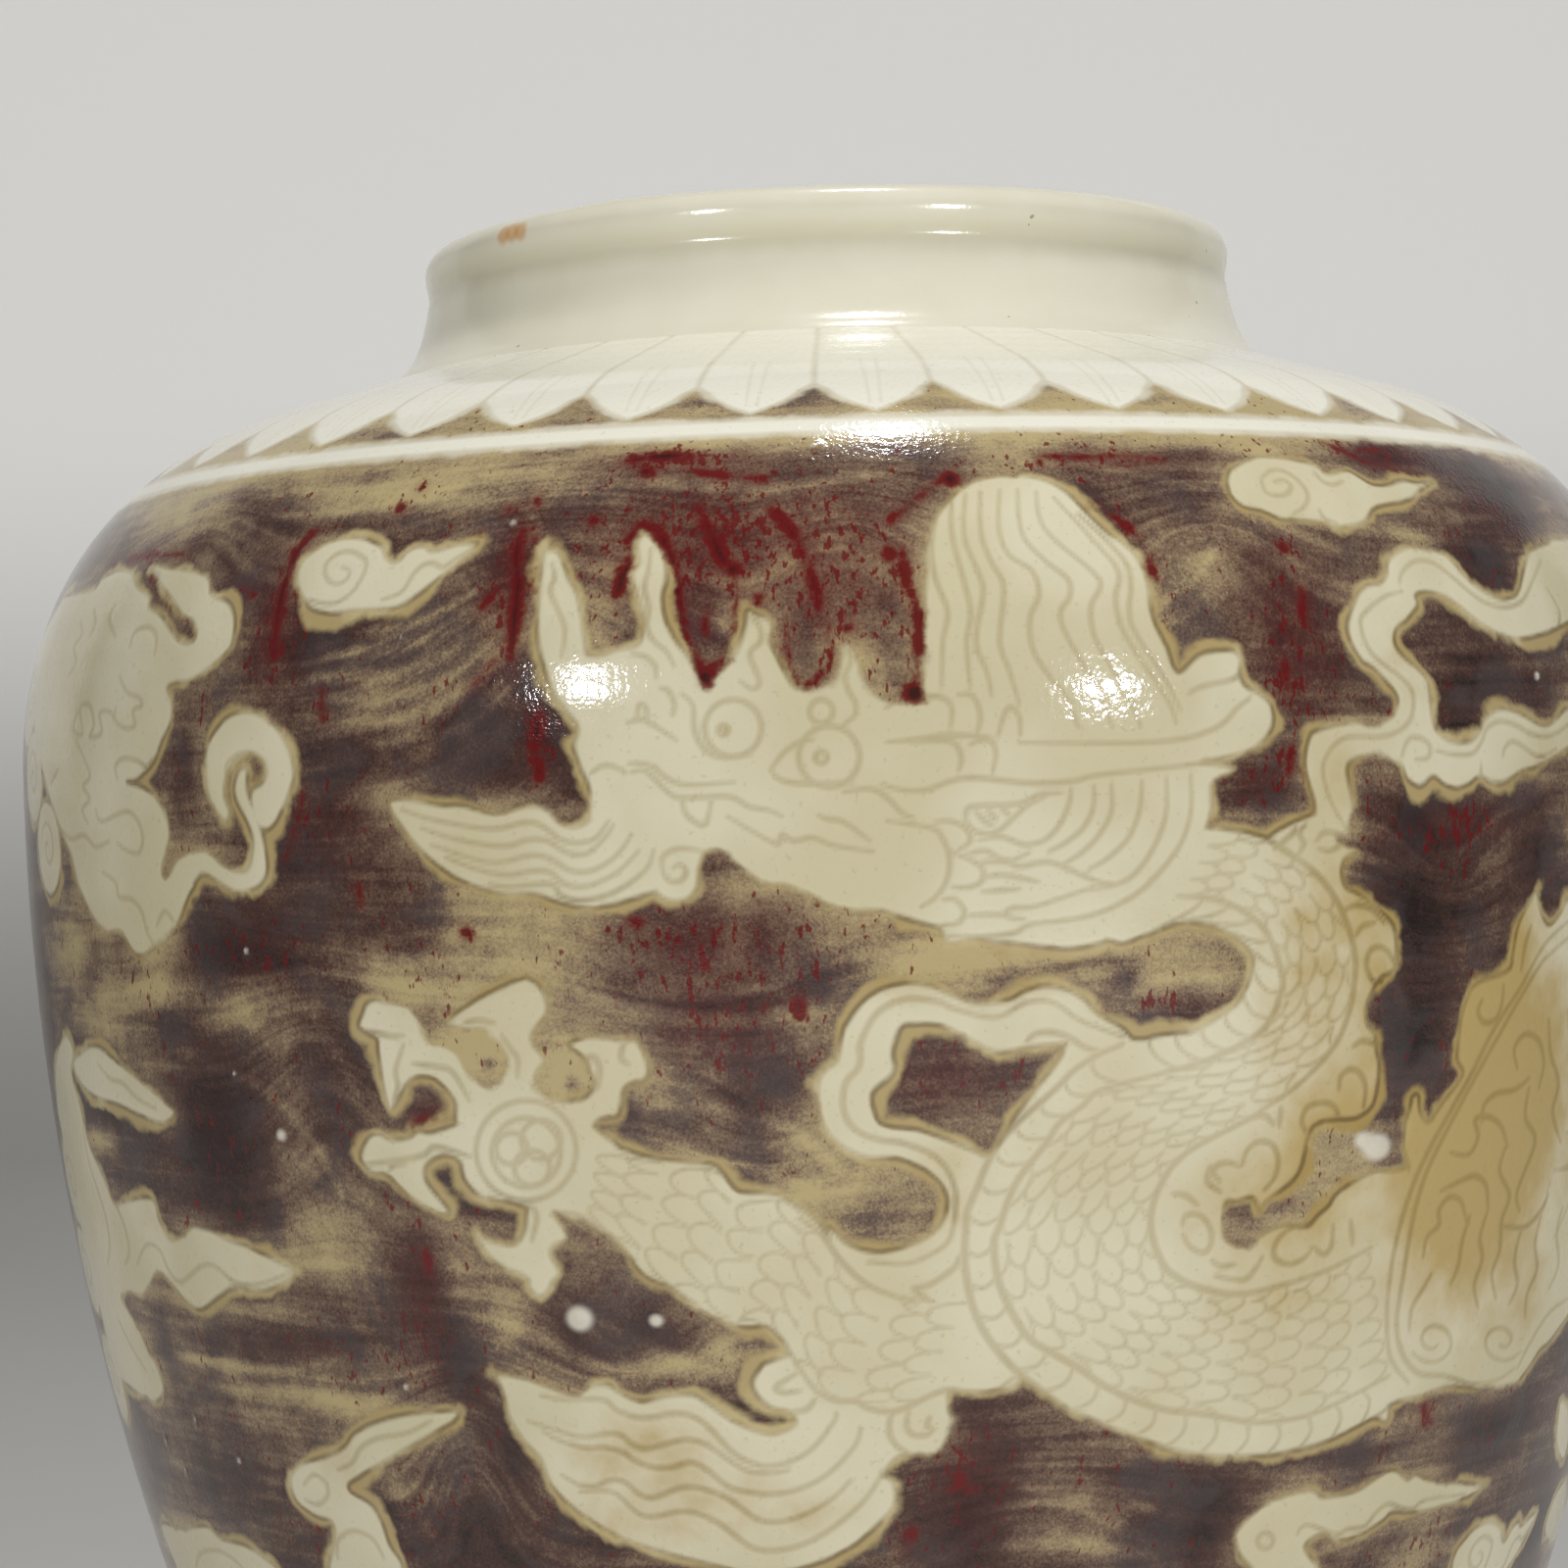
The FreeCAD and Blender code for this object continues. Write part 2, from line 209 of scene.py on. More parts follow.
# angle and section length where the sight lines of photograph pixels meet the wall, or pass closest to it
def onWall(pixels):
    right, up, forward = cameraAxes()
    focal = photoCamera["lens"] / photoCamera["sensor"] * photoCamera["pixels"]
    offset = (np.asarray(pixels, float) - photoCamera["pixels"] / 2) / focal
    sight = forward + offset[:, :1] * right - offset[:, 1:] * up
    depth = np.linspace(*photoCamera["depths"])
    places = np.array(photoCamera["place"]) + depth[None, :, None] * sight[:, None, :]
    gap = np.hypot(places[..., 0], places[..., 1]) - np.interp(places[..., 2], sectionZ, sectionR)
    hit = (gap < 0).any(1)
    first = np.where(hit, np.argmax(gap < 0, 1), np.argmin(gap, 1))
    before = np.maximum(first - 1, 0)
    pick = np.arange(len(places))
    fall = np.maximum(gap[pick, before] - gap[pick, first], 1e-9)
    share = np.where(hit, gap[pick, before] / fall, 1.0)
    at = places[pick, before] + share[:, None] * (places[pick, first] - places[pick, before])
    return np.stack([np.arctan2(at[:, 0], -at[:, 1]), np.interp(at[:, 2], sectionZ, sectionS)], 1)


# a smooth line through the points: Catmull-Rom spans of six steps; a point given twice makes a corner
def smooth(points, closed=False, steps=6):
    p = np.asarray(points, float)
    ring = np.concatenate([p[-1:], p, p[:2]]) if closed else np.concatenate([p[:1], p, p[-1:]])
    a, b, c, d = ring[:-3, None], ring[1:-2, None], ring[2:-1, None], ring[3:, None]
    t = np.linspace(0, 1, steps, endpoint=False)[None, :, None]
    bend, twist = a - 2.5 * b + 2 * c - d / 2, 1.5 * (b - c) + (d - a) / 2
    spans = b + t * (c - a) / 2 + t**2 * bend + t**3 * twist
    line = spans.reshape(-1, 2)
    line = line if closed else np.concatenate([line, p[-1:]])
    keep = np.concatenate([[True], np.hypot(*np.diff(line, axis=0).T) > 1e-6])
    return line[keep]


# rows and columns of the grid within reach of an angle and length box
def window(low, high, reach):
    spread = reach / np.interp([low[1] - reach, high[1] + reach], rowLength, rowRadius).min()
    columns = slice(*np.searchsorted(columnAngle, (low[0] - spread, high[0] + spread)))
    rows = slice(*np.searchsorted(rowLength, (low[1] - reach, high[1] + reach)))
    return rows, columns


# lowers field to the distance from each piece of a line, less its half width, inside reach
def nearLine(field, line, reach, half):
    for a, b, w in zip(line[:-1], line[1:], np.broadcast_to(half, len(line) - 1)):
        rows, columns = window(np.minimum(a, b), np.maximum(a, b), reach + w)
        part = field[rows, columns]
        if part.size == 0:
            continue
        radius = rowRadius[rows, None]
        across = (columnAngle[None, columns] - a[0]) * radius
        along = rowLength[rows, None] - a[1]
        runX, runY = (b[0] - a[0]) * radius, b[1] - a[1]
        share = np.clip((across * runX + along * runY) / (runX**2 + runY**2 + 1e-12), 0, 1)
        np.minimum(part, np.hypot(across - share * runX, along - share * runY) - w, out=part)


spareField = np.zeros_like(blank)


# signed distance to a closed line, positive inside, over its own window; each row's crossings give the inside
def insideShape(line, reach):
    rows, columns = window(line.min(0), line.max(0), reach)
    spareField[rows, columns] = reach
    nearLine(spareField, np.concatenate([line, line[:1]]), reach, 0.0)
    lengths, angles = rowLength[rows], columnAngle[columns]
    flips = np.zeros((len(lengths), len(angles) + 1), np.int32)
    for a, b in zip(line, np.roll(line, -1, 0)):
        first, last = np.searchsorted(lengths, sorted((a[1], b[1])))
        if first < last:
            crossing = a[0] + (lengths[first:last] - a[1]) / (b[1] - a[1]) * (b[0] - a[0])
            flips[np.arange(first, last), np.searchsorted(angles, crossing)] += 1
    inside = np.cumsum(flips[:, ::-1], 1)[:, ::-1][:, 1:] % 2 == 1
    return rows, columns, np.where(inside, spareField[rows, columns], -spareField[rows, columns])


# where each drawing goes: it stands twice round the jar, turned by some degrees and lifted along the wall
def moveDrawing(degrees=0.0, lift=0.0):
    global turns
    turns = [np.array((math.radians(degrees) + math.pi * half, lift)) for half in range(-2, 3)]


moveDrawing()


# adds closed shapes to the pale figures or, for pockets of ground, takes them back out
def drawShapes(*outlines, pocket=False, reach=0.012):
    for points in outlines:
        line = onWall(smooth(points, closed=True))
        for turn in turns:
            rows, columns, inside = insideShape(line + turn, reach)
            part = wall["reserve"][rows, columns]
            if pocket:
                np.minimum(part, -inside, out=part)
            else:
                np.maximum(part, inside, out=part)


# half widths of cut lines, in metres
cutHalf = {"scale": 0.0002, "plate": 0.0003, "thin": 0.0005, "usual": 0.0006, "bold": 0.0007}


# a line that thins towards its ends, or an even ring
def drawCut(points, half=cutHalf["thin"], field="cut", reach=0.004, closed=False):
    line = smooth(points, closed)
    line = onWall(np.concatenate([line, line[:1]]) if closed else line)
    taper = 1.0 if closed else np.sin(np.linspace(0.25, math.pi - 0.25, len(line) - 1)) ** 0.5
    for turn in turns:
        nearLine(wall[field], line + turn, reach, half * taper)


def drawCuts(lines, half=cutHalf["thin"]):
    for points in lines:
        drawCut(points, half)


# points of a circle: centre plus radius times (cos, sin)
def circle(x, y, radius, count=14):
    angle = np.radians(np.linspace(0, 360, count, endpoint=False))
    return np.stack([x + radius * np.cos(angle), y + radius * np.sin(angle)], 1)


def drawRings(rings):
    for ring in rings:
        drawCut(circle(*ring), closed=True)


# points of a spiral that winds in from a radius to a smaller one over some turns
def spiral(x, y, outer, inner, start, wind, count=22):
    share = np.linspace(0, 1, count)
    angle = np.radians(start) + 2 * math.pi * wind * share
    radius = outer + (inner - outer) * share
    return np.stack([x + radius * np.cos(angle), y + radius * np.sin(angle)], 1)


# evenly spaced points along a line
def evenly(line, count):
    run = np.concatenate([[0.0], np.cumsum(np.hypot(*np.diff(line, axis=0).T))])
    at = np.linspace(0, run[-1], count)
    return np.stack([np.interp(at, run, line[:, 0]), np.interp(at, run, line[:, 1])], 1)


# a band between two edges: u runs along both, v goes straight across from the first to the second
def band(first, second, count=160):
    one, two = evenly(smooth(first), count), evenly(smooth(second), count)

    def place(u, v):
        u, v = np.broadcast_arrays(np.clip(u, 0, 1) * (count - 1), v)
        steps = np.arange(count)
        a = np.stack([np.interp(u, steps, one[:, k]) for k in (0, 1)], -1)
        b = np.stack([np.interp(u, steps, two[:, k]) for k in (0, 1)], -1)
        return a + (b - a) * v[..., None]
    return place


# scales: rows of half ovals in a band, each row set half a scale over from the last; waves out of step with
# the rows make them a little uneven
def drawScales(place, along, across, bulge=0.85):
    lean = np.radians(np.linspace(-90, 90, 7))
    for i in range(along):
        for j in range(across + i % 2):
            stray, slip = math.sin(12.9 * i + 78.2 * j), 0.12 * math.cos(9.1 * i + 31.7 * j)
            middle = (j + 0.5 * (1 - i % 2) + 0.07 * stray) / across
            v = np.clip(middle + (0.5 + 0.04 * stray) / across * np.sin(lean), 0.0, 1.0)
            drawCut(place((i + slip + bulge * np.cos(lean)) / along, v), cutHalf["scale"])


# belly plates: bowed lines across a band
def drawPlates(place, count, bow=0.3):
    v = np.linspace(0, 1, 5)
    for i in range(1, count):
        drawCut(place((i + bow * np.sin(math.pi * v)) / count, v), cutHalf["plate"])


# adds a soft round touch to a field: strength times a bell over pixel radii; a settling touch draws it there
def dab(key, x, y, across, down, strength, settle=0):
    wide, high = across / photoCamera["pixelsPerMetre"], down / photoCamera["pixelsPerMetre"]
    for angle, length in onWall([(x, y)]) + turns:
        rows, columns = window((angle, length), (angle, length), 3 * max(wide, high))
        radius = rowRadius[rows, None]
        off = (columnAngle[None, columns] - angle) * radius / wide
        rise = (rowLength[rows, None] - length) / high
        part = wall[key][rows, columns]
        part += np.exp(-off**2 - rise**2) * (strength - settle * part)


# the dragon's head, traced in pixels of the photograph: the pale outline, and the lines cut inside it
head = {
    "outline": [
        (600, 668), (615, 668), (630, 663), (648, 660), (655, 650), (657, 630), (645, 590), (652, 575),
        (650, 555), (657, 545), (657, 545), (668, 552), (678, 570), (680, 590), (676, 610), (680, 635),
        (690, 655), (703, 672), (720, 700), (728, 690), (750, 668), (760, 640), (761, 625), (765, 622),
        (772, 628), (783, 632), (788, 640), (786, 655), (792, 668), (808, 698), (820, 703), (838, 698),
        (850, 690), (856, 675), (857, 660), (862, 652), (872, 660), (880, 675), (884, 690), (895, 705),
        (915, 716), (960, 720), (1000, 760), (1000, 940), (960, 946), (900, 930), (867, 929), (844, 923),
        (826, 913), (802, 904), (779, 901), (749, 882), (738, 871), (720, 869), (714, 885), (712, 905),
        (700, 918), (680, 918), (660, 905), (620, 900), (600, 860), (602, 820), (600, 800), (590, 778),
        (586, 760), (589, 741), (566, 710), (558, 690), (548, 640), (555, 563), (555, 563), (570, 565),
        (580, 590), (590, 610), (597, 655),
    ],
    "beard": [
        (395, 818), (395, 818), (410, 815), (450, 822), (470, 822), (505, 830), (538, 823), (558, 827),
        (570, 839), (585, 844), (599, 839), (605, 826), (640, 820), (700, 850), (690, 900), (661, 912),
        (600, 927), (545, 912), (515, 912), (470, 898), (430, 868), (402, 832),
    ],
    "cuts": [
        [(563, 575), (566, 590), (562, 605), (576, 640), (573, 670)],
        [(664, 560), (662, 580), (658, 600), (662, 620), (660, 640), (668, 655), (680, 665), (688, 680)],
        [(767, 630), (775, 640), (776, 655), (765, 668), (775, 695), (768, 703), (755, 695)],
        [(863, 660), (868, 675), (862, 690), (866, 705), (873, 718), (872, 730), (860, 740)],
        [(786, 786), (800, 768), (815, 758), (830, 754)],
        [(786, 786), (800, 797), (830, 800), (870, 798)],
        [(696, 708), (707, 720), (708, 741), (714, 758), (726, 770), (746, 773), (767, 770)],
        [(642, 779), (654, 779), (667, 783), (679, 793), (691, 799), (708, 801), (749, 798)],
        [(644, 788), (655, 786), (664, 791), (685, 811), (702, 814), (744, 813), (764, 823), (785, 827),
         (798, 833)],
        [(604, 788), (614, 782), (626, 782), (639, 789)],
        [(696, 816), (699, 829), (708, 838), (720, 841), (726, 816)],
        [(742, 833), (785, 858), (795, 861), (798, 852), (810, 858), (829, 855), (852, 863), (891, 869)],
        [(861, 808), (888, 805), (905, 814), (920, 829), (932, 835)],
        [(835, 832), (846, 836), (861, 839), (888, 858)],
        [(645, 668), (658, 670), (668, 679), (670, 692)],
        [(640, 738), (650, 735), (660, 736), (690, 755)],
        [(650, 735), (652, 720), (659, 722), (661, 735)],
        [(674, 702), (682, 705), (688, 718), (687, 730)],
        [(590, 800), (598, 820), (602, 838)],
        # hair of the beard, from its tip to the jaw
        [(410, 826), (440, 836), (500, 846), (538, 839), (555, 844), (573, 857), (591, 860), (608, 855),
         (621, 838)],
        [(430, 845), (460, 855), (495, 862), (520, 863), (538, 857), (558, 858), (579, 870), (599, 871),
         (617, 855), (626, 842)],
        [(440, 862), (500, 880), (541, 873), (561, 876), (582, 888), (605, 888), (629, 873), (645, 851)],
        [(455, 875), (490, 888), (520, 893), (541, 889), (561, 890), (577, 902), (600, 904), (630, 890),
         (652, 868)],
        [(500, 902), (520, 905), (561, 902), (573, 914), (591, 919), (617, 914), (641, 902), (661, 885),
         (667, 867)],
        # chin curl
        [(676, 888), (676, 876), (685, 868), (700, 866), (720, 869)],
        [(676, 888), (682, 898), (694, 899), (700, 890), (694, 882), (687, 886)],
        # jaw, cheek hair and whiskers
        [(905, 838), (950, 845), (963, 858), (969, 878), (966, 898), (955, 915), (940, 925)],
        [(955, 838), (970, 838), (985, 845), (990, 858), (980, 866)],
        [(970, 868), (1000, 884), (1002, 898), (990, 905), (972, 905)],
        [(962, 918), (975, 918), (984, 930), (978, 942), (960, 944)],
        [(985, 835), (987, 825), (1000, 822), (1040, 820), (1060, 811), (1083, 809)],
        [(985, 835), (992, 846), (1005, 851), (1020, 847), (1047, 823), (1068, 812)],
        [(995, 828), (1005, 838), (1012, 842)],
        [(1008, 827), (1017, 836)],
        [(1022, 825), (1030, 832)],
        [(999, 857), (1022, 854), (1046, 862), (1066, 857)],
        [(987, 872), (1005, 868), (1020, 876), (1036, 878)],
        [(1050, 870), (1031, 880), (1043, 884), (1072, 880), (1116, 898), (1140, 902)],
        [(1000, 880), (1020, 879), (1036, 881)],
        [(1002, 895), (1025, 893), (1060, 900)],
        [(1002, 910), (1040, 907)],
        [(1045, 938), (1030, 936), (1027, 930), (1036, 926), (1058, 924), (1116, 905)],
        [(985, 934), (1020, 933), (1030, 936)],
        [(960, 954), (999, 956), (1034, 952), (1049, 944), (1075, 940)],
        # horn, brow and antler
        [(905, 722), (918, 714), (945, 711), (962, 712), (971, 722), (970, 742)],
        [(978, 709), (990, 709), (998, 720), (1000, 735), (997, 748)],
        [(905, 757), (940, 754), (970, 750), (1010, 752)],
        [(930, 758), (965, 756), (977, 762), (981, 775), (978, 787)],
        [(990, 760), (1000, 755), (1012, 757), (1016, 770), (1013, 787)],
        [(1018, 752), (1025, 728), (1032, 722), (1040, 732), (1041, 750)],
        [(1040, 758), (1180, 757), (1238, 744), (1263, 722), (1275, 713)],
        [(1240, 775), (1210, 781), (1120, 791), (1095, 797), (1050, 799), (985, 794), (945, 806), (920, 806),
         (900, 800)],
        [(1266, 684), (1258, 693), (1225, 701), (1213, 708)],
    ],
    "rings": [(748, 743, 29), (846, 772, 31), (738, 745, 5), (838, 773, 6), (838, 726, 12)],
}

# upright hair behind the horn: its outline with the antler, and its wavy locks
mane = {
    "outline": [
        (945, 720), (944, 600), (944, 565), (950, 540), (962, 518), (990, 493), (1035, 485), (1080, 497),
        (1125, 540), (1143, 552), (1157, 565), (1167, 582), (1172, 600), (1174, 620), (1180, 640),
        (1190, 660), (1202, 686), (1225, 668), (1256, 664), (1266, 673), (1265, 686), (1270, 700),
        (1285, 708), (1297, 720), (1298, 740), (1288, 757), (1270, 768), (1240, 775), (1225, 778),
        (1200, 800), (1000, 800),
    ],
    "locks": [
        [(955, 530), (950, 560), (955, 592), (967, 625), (962, 655), (961, 700)],
        [(971, 510), (972, 550), (990, 620), (986, 655), (990, 700)],
        [(985, 504), (984, 548), (1000, 589), (1003, 607), (996, 655), (1007, 686), (1012, 710)],
        [(1000, 502), (1001, 545), (1012, 575), (1024, 600), (1020, 655), (1030, 685), (1040, 718)],
        [(1020, 500), (1019, 539), (1029, 566), (1053, 583), (1060, 607), (1051, 631), (1054, 663),
         (1072, 692), (1090, 715), (1100, 742)],
        [(1038, 500), (1043, 545), (1066, 572), (1090, 592), (1091, 610), (1082, 625), (1088, 648),
         (1120, 705), (1135, 742)],
        [(1057, 502), (1066, 540), (1113, 582), (1123, 597), (1114, 616), (1113, 632), (1120, 657),
         (1150, 707), (1164, 742)],
        [(1075, 508), (1123, 560), (1138, 578), (1142, 592), (1138, 612), (1148, 648), (1190, 712),
         (1200, 738)],
        [(1100, 525), (1130, 553), (1150, 577), (1154, 600), (1152, 622), (1158, 645), (1190, 695),
         (1205, 725)],
    ],
    "neck": [
        (960, 790), (1240, 780), (1236, 801), (1236, 825), (1227, 857), (1208, 892), (1184, 922), (1158, 945),
        (1128, 960), (1100, 967), (1072, 967), (1000, 957), (960, 948),
    ],
    "rolls": [
        [(1093, 804), (1091, 819), (1081, 842), (1066, 857), (1049, 863)],
        [(1116, 802), (1115, 825), (1105, 845), (1087, 860), (1070, 869)],
        [(1134, 800), (1134, 828), (1122, 851), (1105, 869), (1085, 882)],
        [(1165, 797), (1163, 825), (1152, 854), (1131, 875), (1110, 888)],
        [(1190, 794), (1190, 828), (1181, 857), (1163, 886), (1143, 901), (1112, 908)],
        [(1215, 790), (1215, 828), (1205, 860), (1184, 889), (1158, 913), (1122, 931), (1087, 939),
         (1055, 942)],
    ],
}

drawShapes(head["outline"], head["beard"], mane["outline"], mane["neck"])
drawCuts(head["cuts"] + mane["locks"] + mane["rolls"])
drawRings(head["rings"])
print("head and mane drawn")

# the dragon's body: outer edge of the belly plates, line between plates and scales, and the spine
body = {
    "bendBelly": [
        (1140, 962), (1164, 956), (1205, 942), (1246, 948), (1275, 969), (1278, 989), (1269, 1013),
        (1255, 1030), (1213, 1054), (1169, 1060), (1145, 1066),
    ],
    "bendPlate": [
        (1202, 914), (1249, 920), (1290, 948), (1308, 995), (1305, 1019), (1297, 1039), (1281, 1057),
        (1234, 1081), (1175, 1098),
    ],
    "bendSpine": [
        (1240, 845), (1275, 850), (1299, 860), (1343, 892), (1371, 934), (1383, 989), (1369, 1054),
        (1331, 1101), (1289, 1132),
    ],
    "underHead": [(1180, 850), (1120, 940)],
    "loopBelly": [
        (1145, 1066), (1121, 1076), (1096, 1092), (1077, 1111), (1021, 1164), (991, 1226), (986, 1248),
        (985, 1295), (997, 1345), (1027, 1389), (1080, 1432), (1111, 1448), (1205, 1482), (1283, 1486),
        (1324, 1479), (1355, 1470), (1399, 1448), (1417, 1436),
    ],
    "loopPlate": [
        (1175, 1098), (1122, 1113), (1105, 1128), (1081, 1146), (1067, 1167), (1036, 1208), (1020, 1251),
        (1014, 1270), (1021, 1314), (1046, 1361), (1071, 1379), (1099, 1395), (1127, 1414), (1158, 1429),
        (1192, 1439), (1230, 1443), (1277, 1451), (1318, 1448), (1355, 1436), (1417, 1404),
    ],
    "loopSpine": [
        (1289, 1132), (1274, 1142), (1211, 1176), (1183, 1211), (1174, 1251), (1186, 1289), (1202, 1304),
        (1224, 1314), (1255, 1320), (1286, 1317), (1349, 1298), (1399, 1273),
    ],
    # fins along the spine, outside the bend and inside the loop
    "bendFins": [
        (1290, 870), (1300, 850), (1343, 830), (1362, 838), (1372, 850), (1366, 858), (1384, 868),
        (1372, 877), (1369, 890), (1373, 905), (1390, 915), (1418, 940), (1424, 960), (1423, 988),
        (1408, 998), (1394, 1025), (1394, 1043), (1402, 1055), (1404, 1072), (1407, 1090), (1400, 1128),
        (1380, 1140), (1350, 1120), (1330, 1090), (1345, 1060), (1355, 1020), (1358, 980), (1350, 950),
        (1335, 920), (1310, 890),
    ],
    "loopFins": [
        (1270, 1115), (1225, 1140), (1190, 1160), (1165, 1200), (1152, 1240), (1155, 1280), (1175, 1310),
        (1215, 1335), (1260, 1345), (1320, 1330), (1370, 1310), (1420, 1280), (1440, 1200), (1400, 1130),
        (1350, 1095), (1310, 1095),
    ],
    "loopPocket": [
        (1335, 1157), (1324, 1198), (1292, 1226), (1285, 1236), (1278, 1222), (1262, 1226), (1250, 1228),
        (1249, 1257), (1258, 1270), (1271, 1270), (1292, 1257), (1311, 1250), (1333, 1252), (1345, 1240),
        (1356, 1230), (1366, 1216), (1400, 1196), (1420, 1195), (1436, 1190), (1433, 1176), (1431, 1156),
        (1440, 1118), (1422, 1090), (1408, 1100), (1402, 1125), (1385, 1140), (1362, 1142), (1345, 1146),
    ],
    "finCuts": [
        [(1343, 858), (1350, 850), (1362, 850), (1370, 857), (1358, 868), (1346, 866)],
        [(1300, 866), (1318, 852), (1322, 845)],
        [(1322, 875), (1330, 862), (1326, 850), (1332, 842)],
        [(1372, 928), (1385, 924), (1400, 928), (1412, 942)],
        [(1383, 955), (1390, 945), (1402, 942)],
        [(1424, 985), (1415, 970), (1405, 966), (1397, 972), (1394, 985), (1400, 1000), (1410, 1002)],
        [(1380, 1068), (1390, 1062), (1404, 1066)],
        [(1366, 1112), (1368, 1098), (1378, 1091), (1388, 1096), (1393, 1110), (1391, 1130)],
        [(1332, 1155), (1328, 1143), (1334, 1130), (1348, 1125), (1360, 1128), (1366, 1138)],
        [(1307, 1130), (1305, 1150)],
        [(1245, 1205), (1238, 1198), (1240, 1190), (1252, 1186), (1264, 1190)],
        [(1268, 1188), (1272, 1174), (1284, 1165), (1298, 1168), (1304, 1184), (1300, 1202), (1290, 1214)],
        [(1274, 1142), (1290, 1138), (1300, 1148)],
        [(1234, 1190), (1232, 1206), (1245, 1216)],
        [(1206, 1250), (1210, 1240), (1224, 1240), (1234, 1252), (1236, 1268), (1228, 1278), (1214, 1272),
         (1207, 1260)],
        [(1196, 1218), (1210, 1220), (1222, 1230)],
        [(1236, 1286), (1246, 1292), (1260, 1290)],
        [(1240, 1302), (1268, 1306), (1280, 1296), (1288, 1282)],
        [(1338, 1275), (1330, 1284), (1316, 1290), (1302, 1285), (1300, 1272), (1310, 1258), (1325, 1250)],
        [(1340, 1272), (1350, 1280), (1358, 1272), (1360, 1250)],
        [(1378, 1245), (1380, 1270)],
    ],
    "scales": {"bend": (13, 4), "loop": (21, 6)},  # rows along the body, and scales across it
    "plates": {"bend": 12, "loop": 24},
}

# body at the right edge, with its spine and long curling fin
rear = {
    "outline": [
        (1568, 908), (1568, 908), (1551, 939), (1544, 970), (1539, 990), (1506, 1004), (1496, 1021),
        (1490, 1045), (1487, 1080), (1492, 1097), (1470, 1128), (1458, 1145), (1449, 1135), (1447, 1118),
        (1440, 1121), (1432, 1156), (1433, 1177), (1437, 1194), (1423, 1208), (1420, 1225), (1406, 1235),
        (1392, 1232), (1375, 1270), (1365, 1330), (1370, 1400), (1390, 1445), (1425, 1430), (1450, 1424),
        (1482, 1414), (1527, 1420), (1544, 1414), (1558, 1397), (1571, 1377), (1585, 1363), (1625, 1300),
        (1640, 1240), (1585, 1225), (1580, 1214), (1590, 1200), (1630, 1190), (1650, 1100), (1655, 1000),
        (1640, 930), (1620, 905), (1600, 918), (1592, 932), (1580, 944), (1571, 928),
    ],
    "cuts": [
        [(1600, 940), (1575, 965), (1551, 1008), (1523, 1052), (1499, 1100), (1451, 1187), (1427, 1256),
         (1416, 1321), (1416, 1373), (1423, 1394), (1437, 1411)],
        [(1610, 950), (1585, 970), (1561, 1001), (1482, 1142), (1447, 1221), (1428, 1325), (1425, 1352),
         (1430, 1380), (1447, 1401), (1475, 1404), (1500, 1412), (1527, 1408), (1545, 1396)],
        [(1512, 1020), (1508, 1032), (1514, 1043), (1526, 1040), (1532, 1025), (1534, 1005)],
        [(1552, 990), (1556, 965), (1562, 945)],
        [(1548, 1090), (1545, 1070), (1556, 1055), (1570, 1062), (1575, 1085), (1570, 1110)],
        [(1560, 1100), (1545, 1112), (1526, 1116), (1514, 1128), (1512, 1145)],
        [(1480, 1176), (1498, 1178), (1508, 1160), (1505, 1142), (1520, 1140), (1532, 1150), (1538, 1170)],
        [(1470, 1215), (1490, 1205), (1505, 1200), (1516, 1210), (1518, 1235)],
        [(1452, 1282), (1456, 1262), (1468, 1250), (1468, 1235), (1478, 1222), (1490, 1225), (1496, 1245)],
        [(1500, 1240), (1492, 1265), (1488, 1290), (1480, 1310)],
        [(1518, 1235), (1510, 1262), (1512, 1285), (1504, 1312), (1508, 1335)],
        [(1536, 1170), (1530, 1195), (1540, 1220), (1532, 1245), (1530, 1275), (1522, 1300), (1526, 1325)],
        [(1560, 1110), (1556, 1140), (1566, 1165), (1548, 1215), (1550, 1235)],
        [(1530, 1250), (1555, 1252), (1572, 1235), (1580, 1218)],
        [(1580, 1040), (1582, 1075), (1590, 1105), (1584, 1135), (1592, 1165)],
        [(1600, 1030), (1602, 1065), (1610, 1100), (1604, 1140), (1610, 1170)],
        [(1552, 1255), (1545, 1285), (1548, 1310), (1540, 1330)],
        [(1572, 1240), (1566, 1270), (1568, 1295), (1558, 1320), (1556, 1345)],
        [(1594, 1232), (1588, 1260), (1590, 1290), (1580, 1315)],
        [(1460, 1300), (1450, 1318), (1440, 1335), (1438, 1358)],
        [(1548, 1396), (1560, 1372), (1580, 1340), (1600, 1325)],
    ],
    "curls": [(1462, 1368, 24, 6, 150, -1.3), (1532, 1368, 22, 5, 30, 1.25)],
}

bend = body["bendBelly"] + body["bendSpine"][::-1] + body["underHead"]
loop = body["bendBelly"][-3:] + body["loopBelly"][1:] + body["loopSpine"][::-1] + body["bendSpine"][:-4:-1]
drawShapes(bend, loop, body["bendFins"], body["loopFins"], rear["outline"])
drawShapes(body["loopPocket"], pocket=True)
drawCuts([body[key] for key in ("bendPlate", "bendSpine", "loopPlate", "loopSpine")], cutHalf["bold"])
drawCuts(body["finCuts"] + rear["cuts"], cutHalf["usual"])
drawCuts([spiral(*curl) for curl in rear["curls"]])
for part in ("bend", "loop"):
    drawScales(band(body[part + "Plate"], body[part + "Spine"]), *body["scales"][part])
    drawPlates(band(body[part + "Belly"], body[part + "Plate"]), body["plates"][part])
print("body drawn")

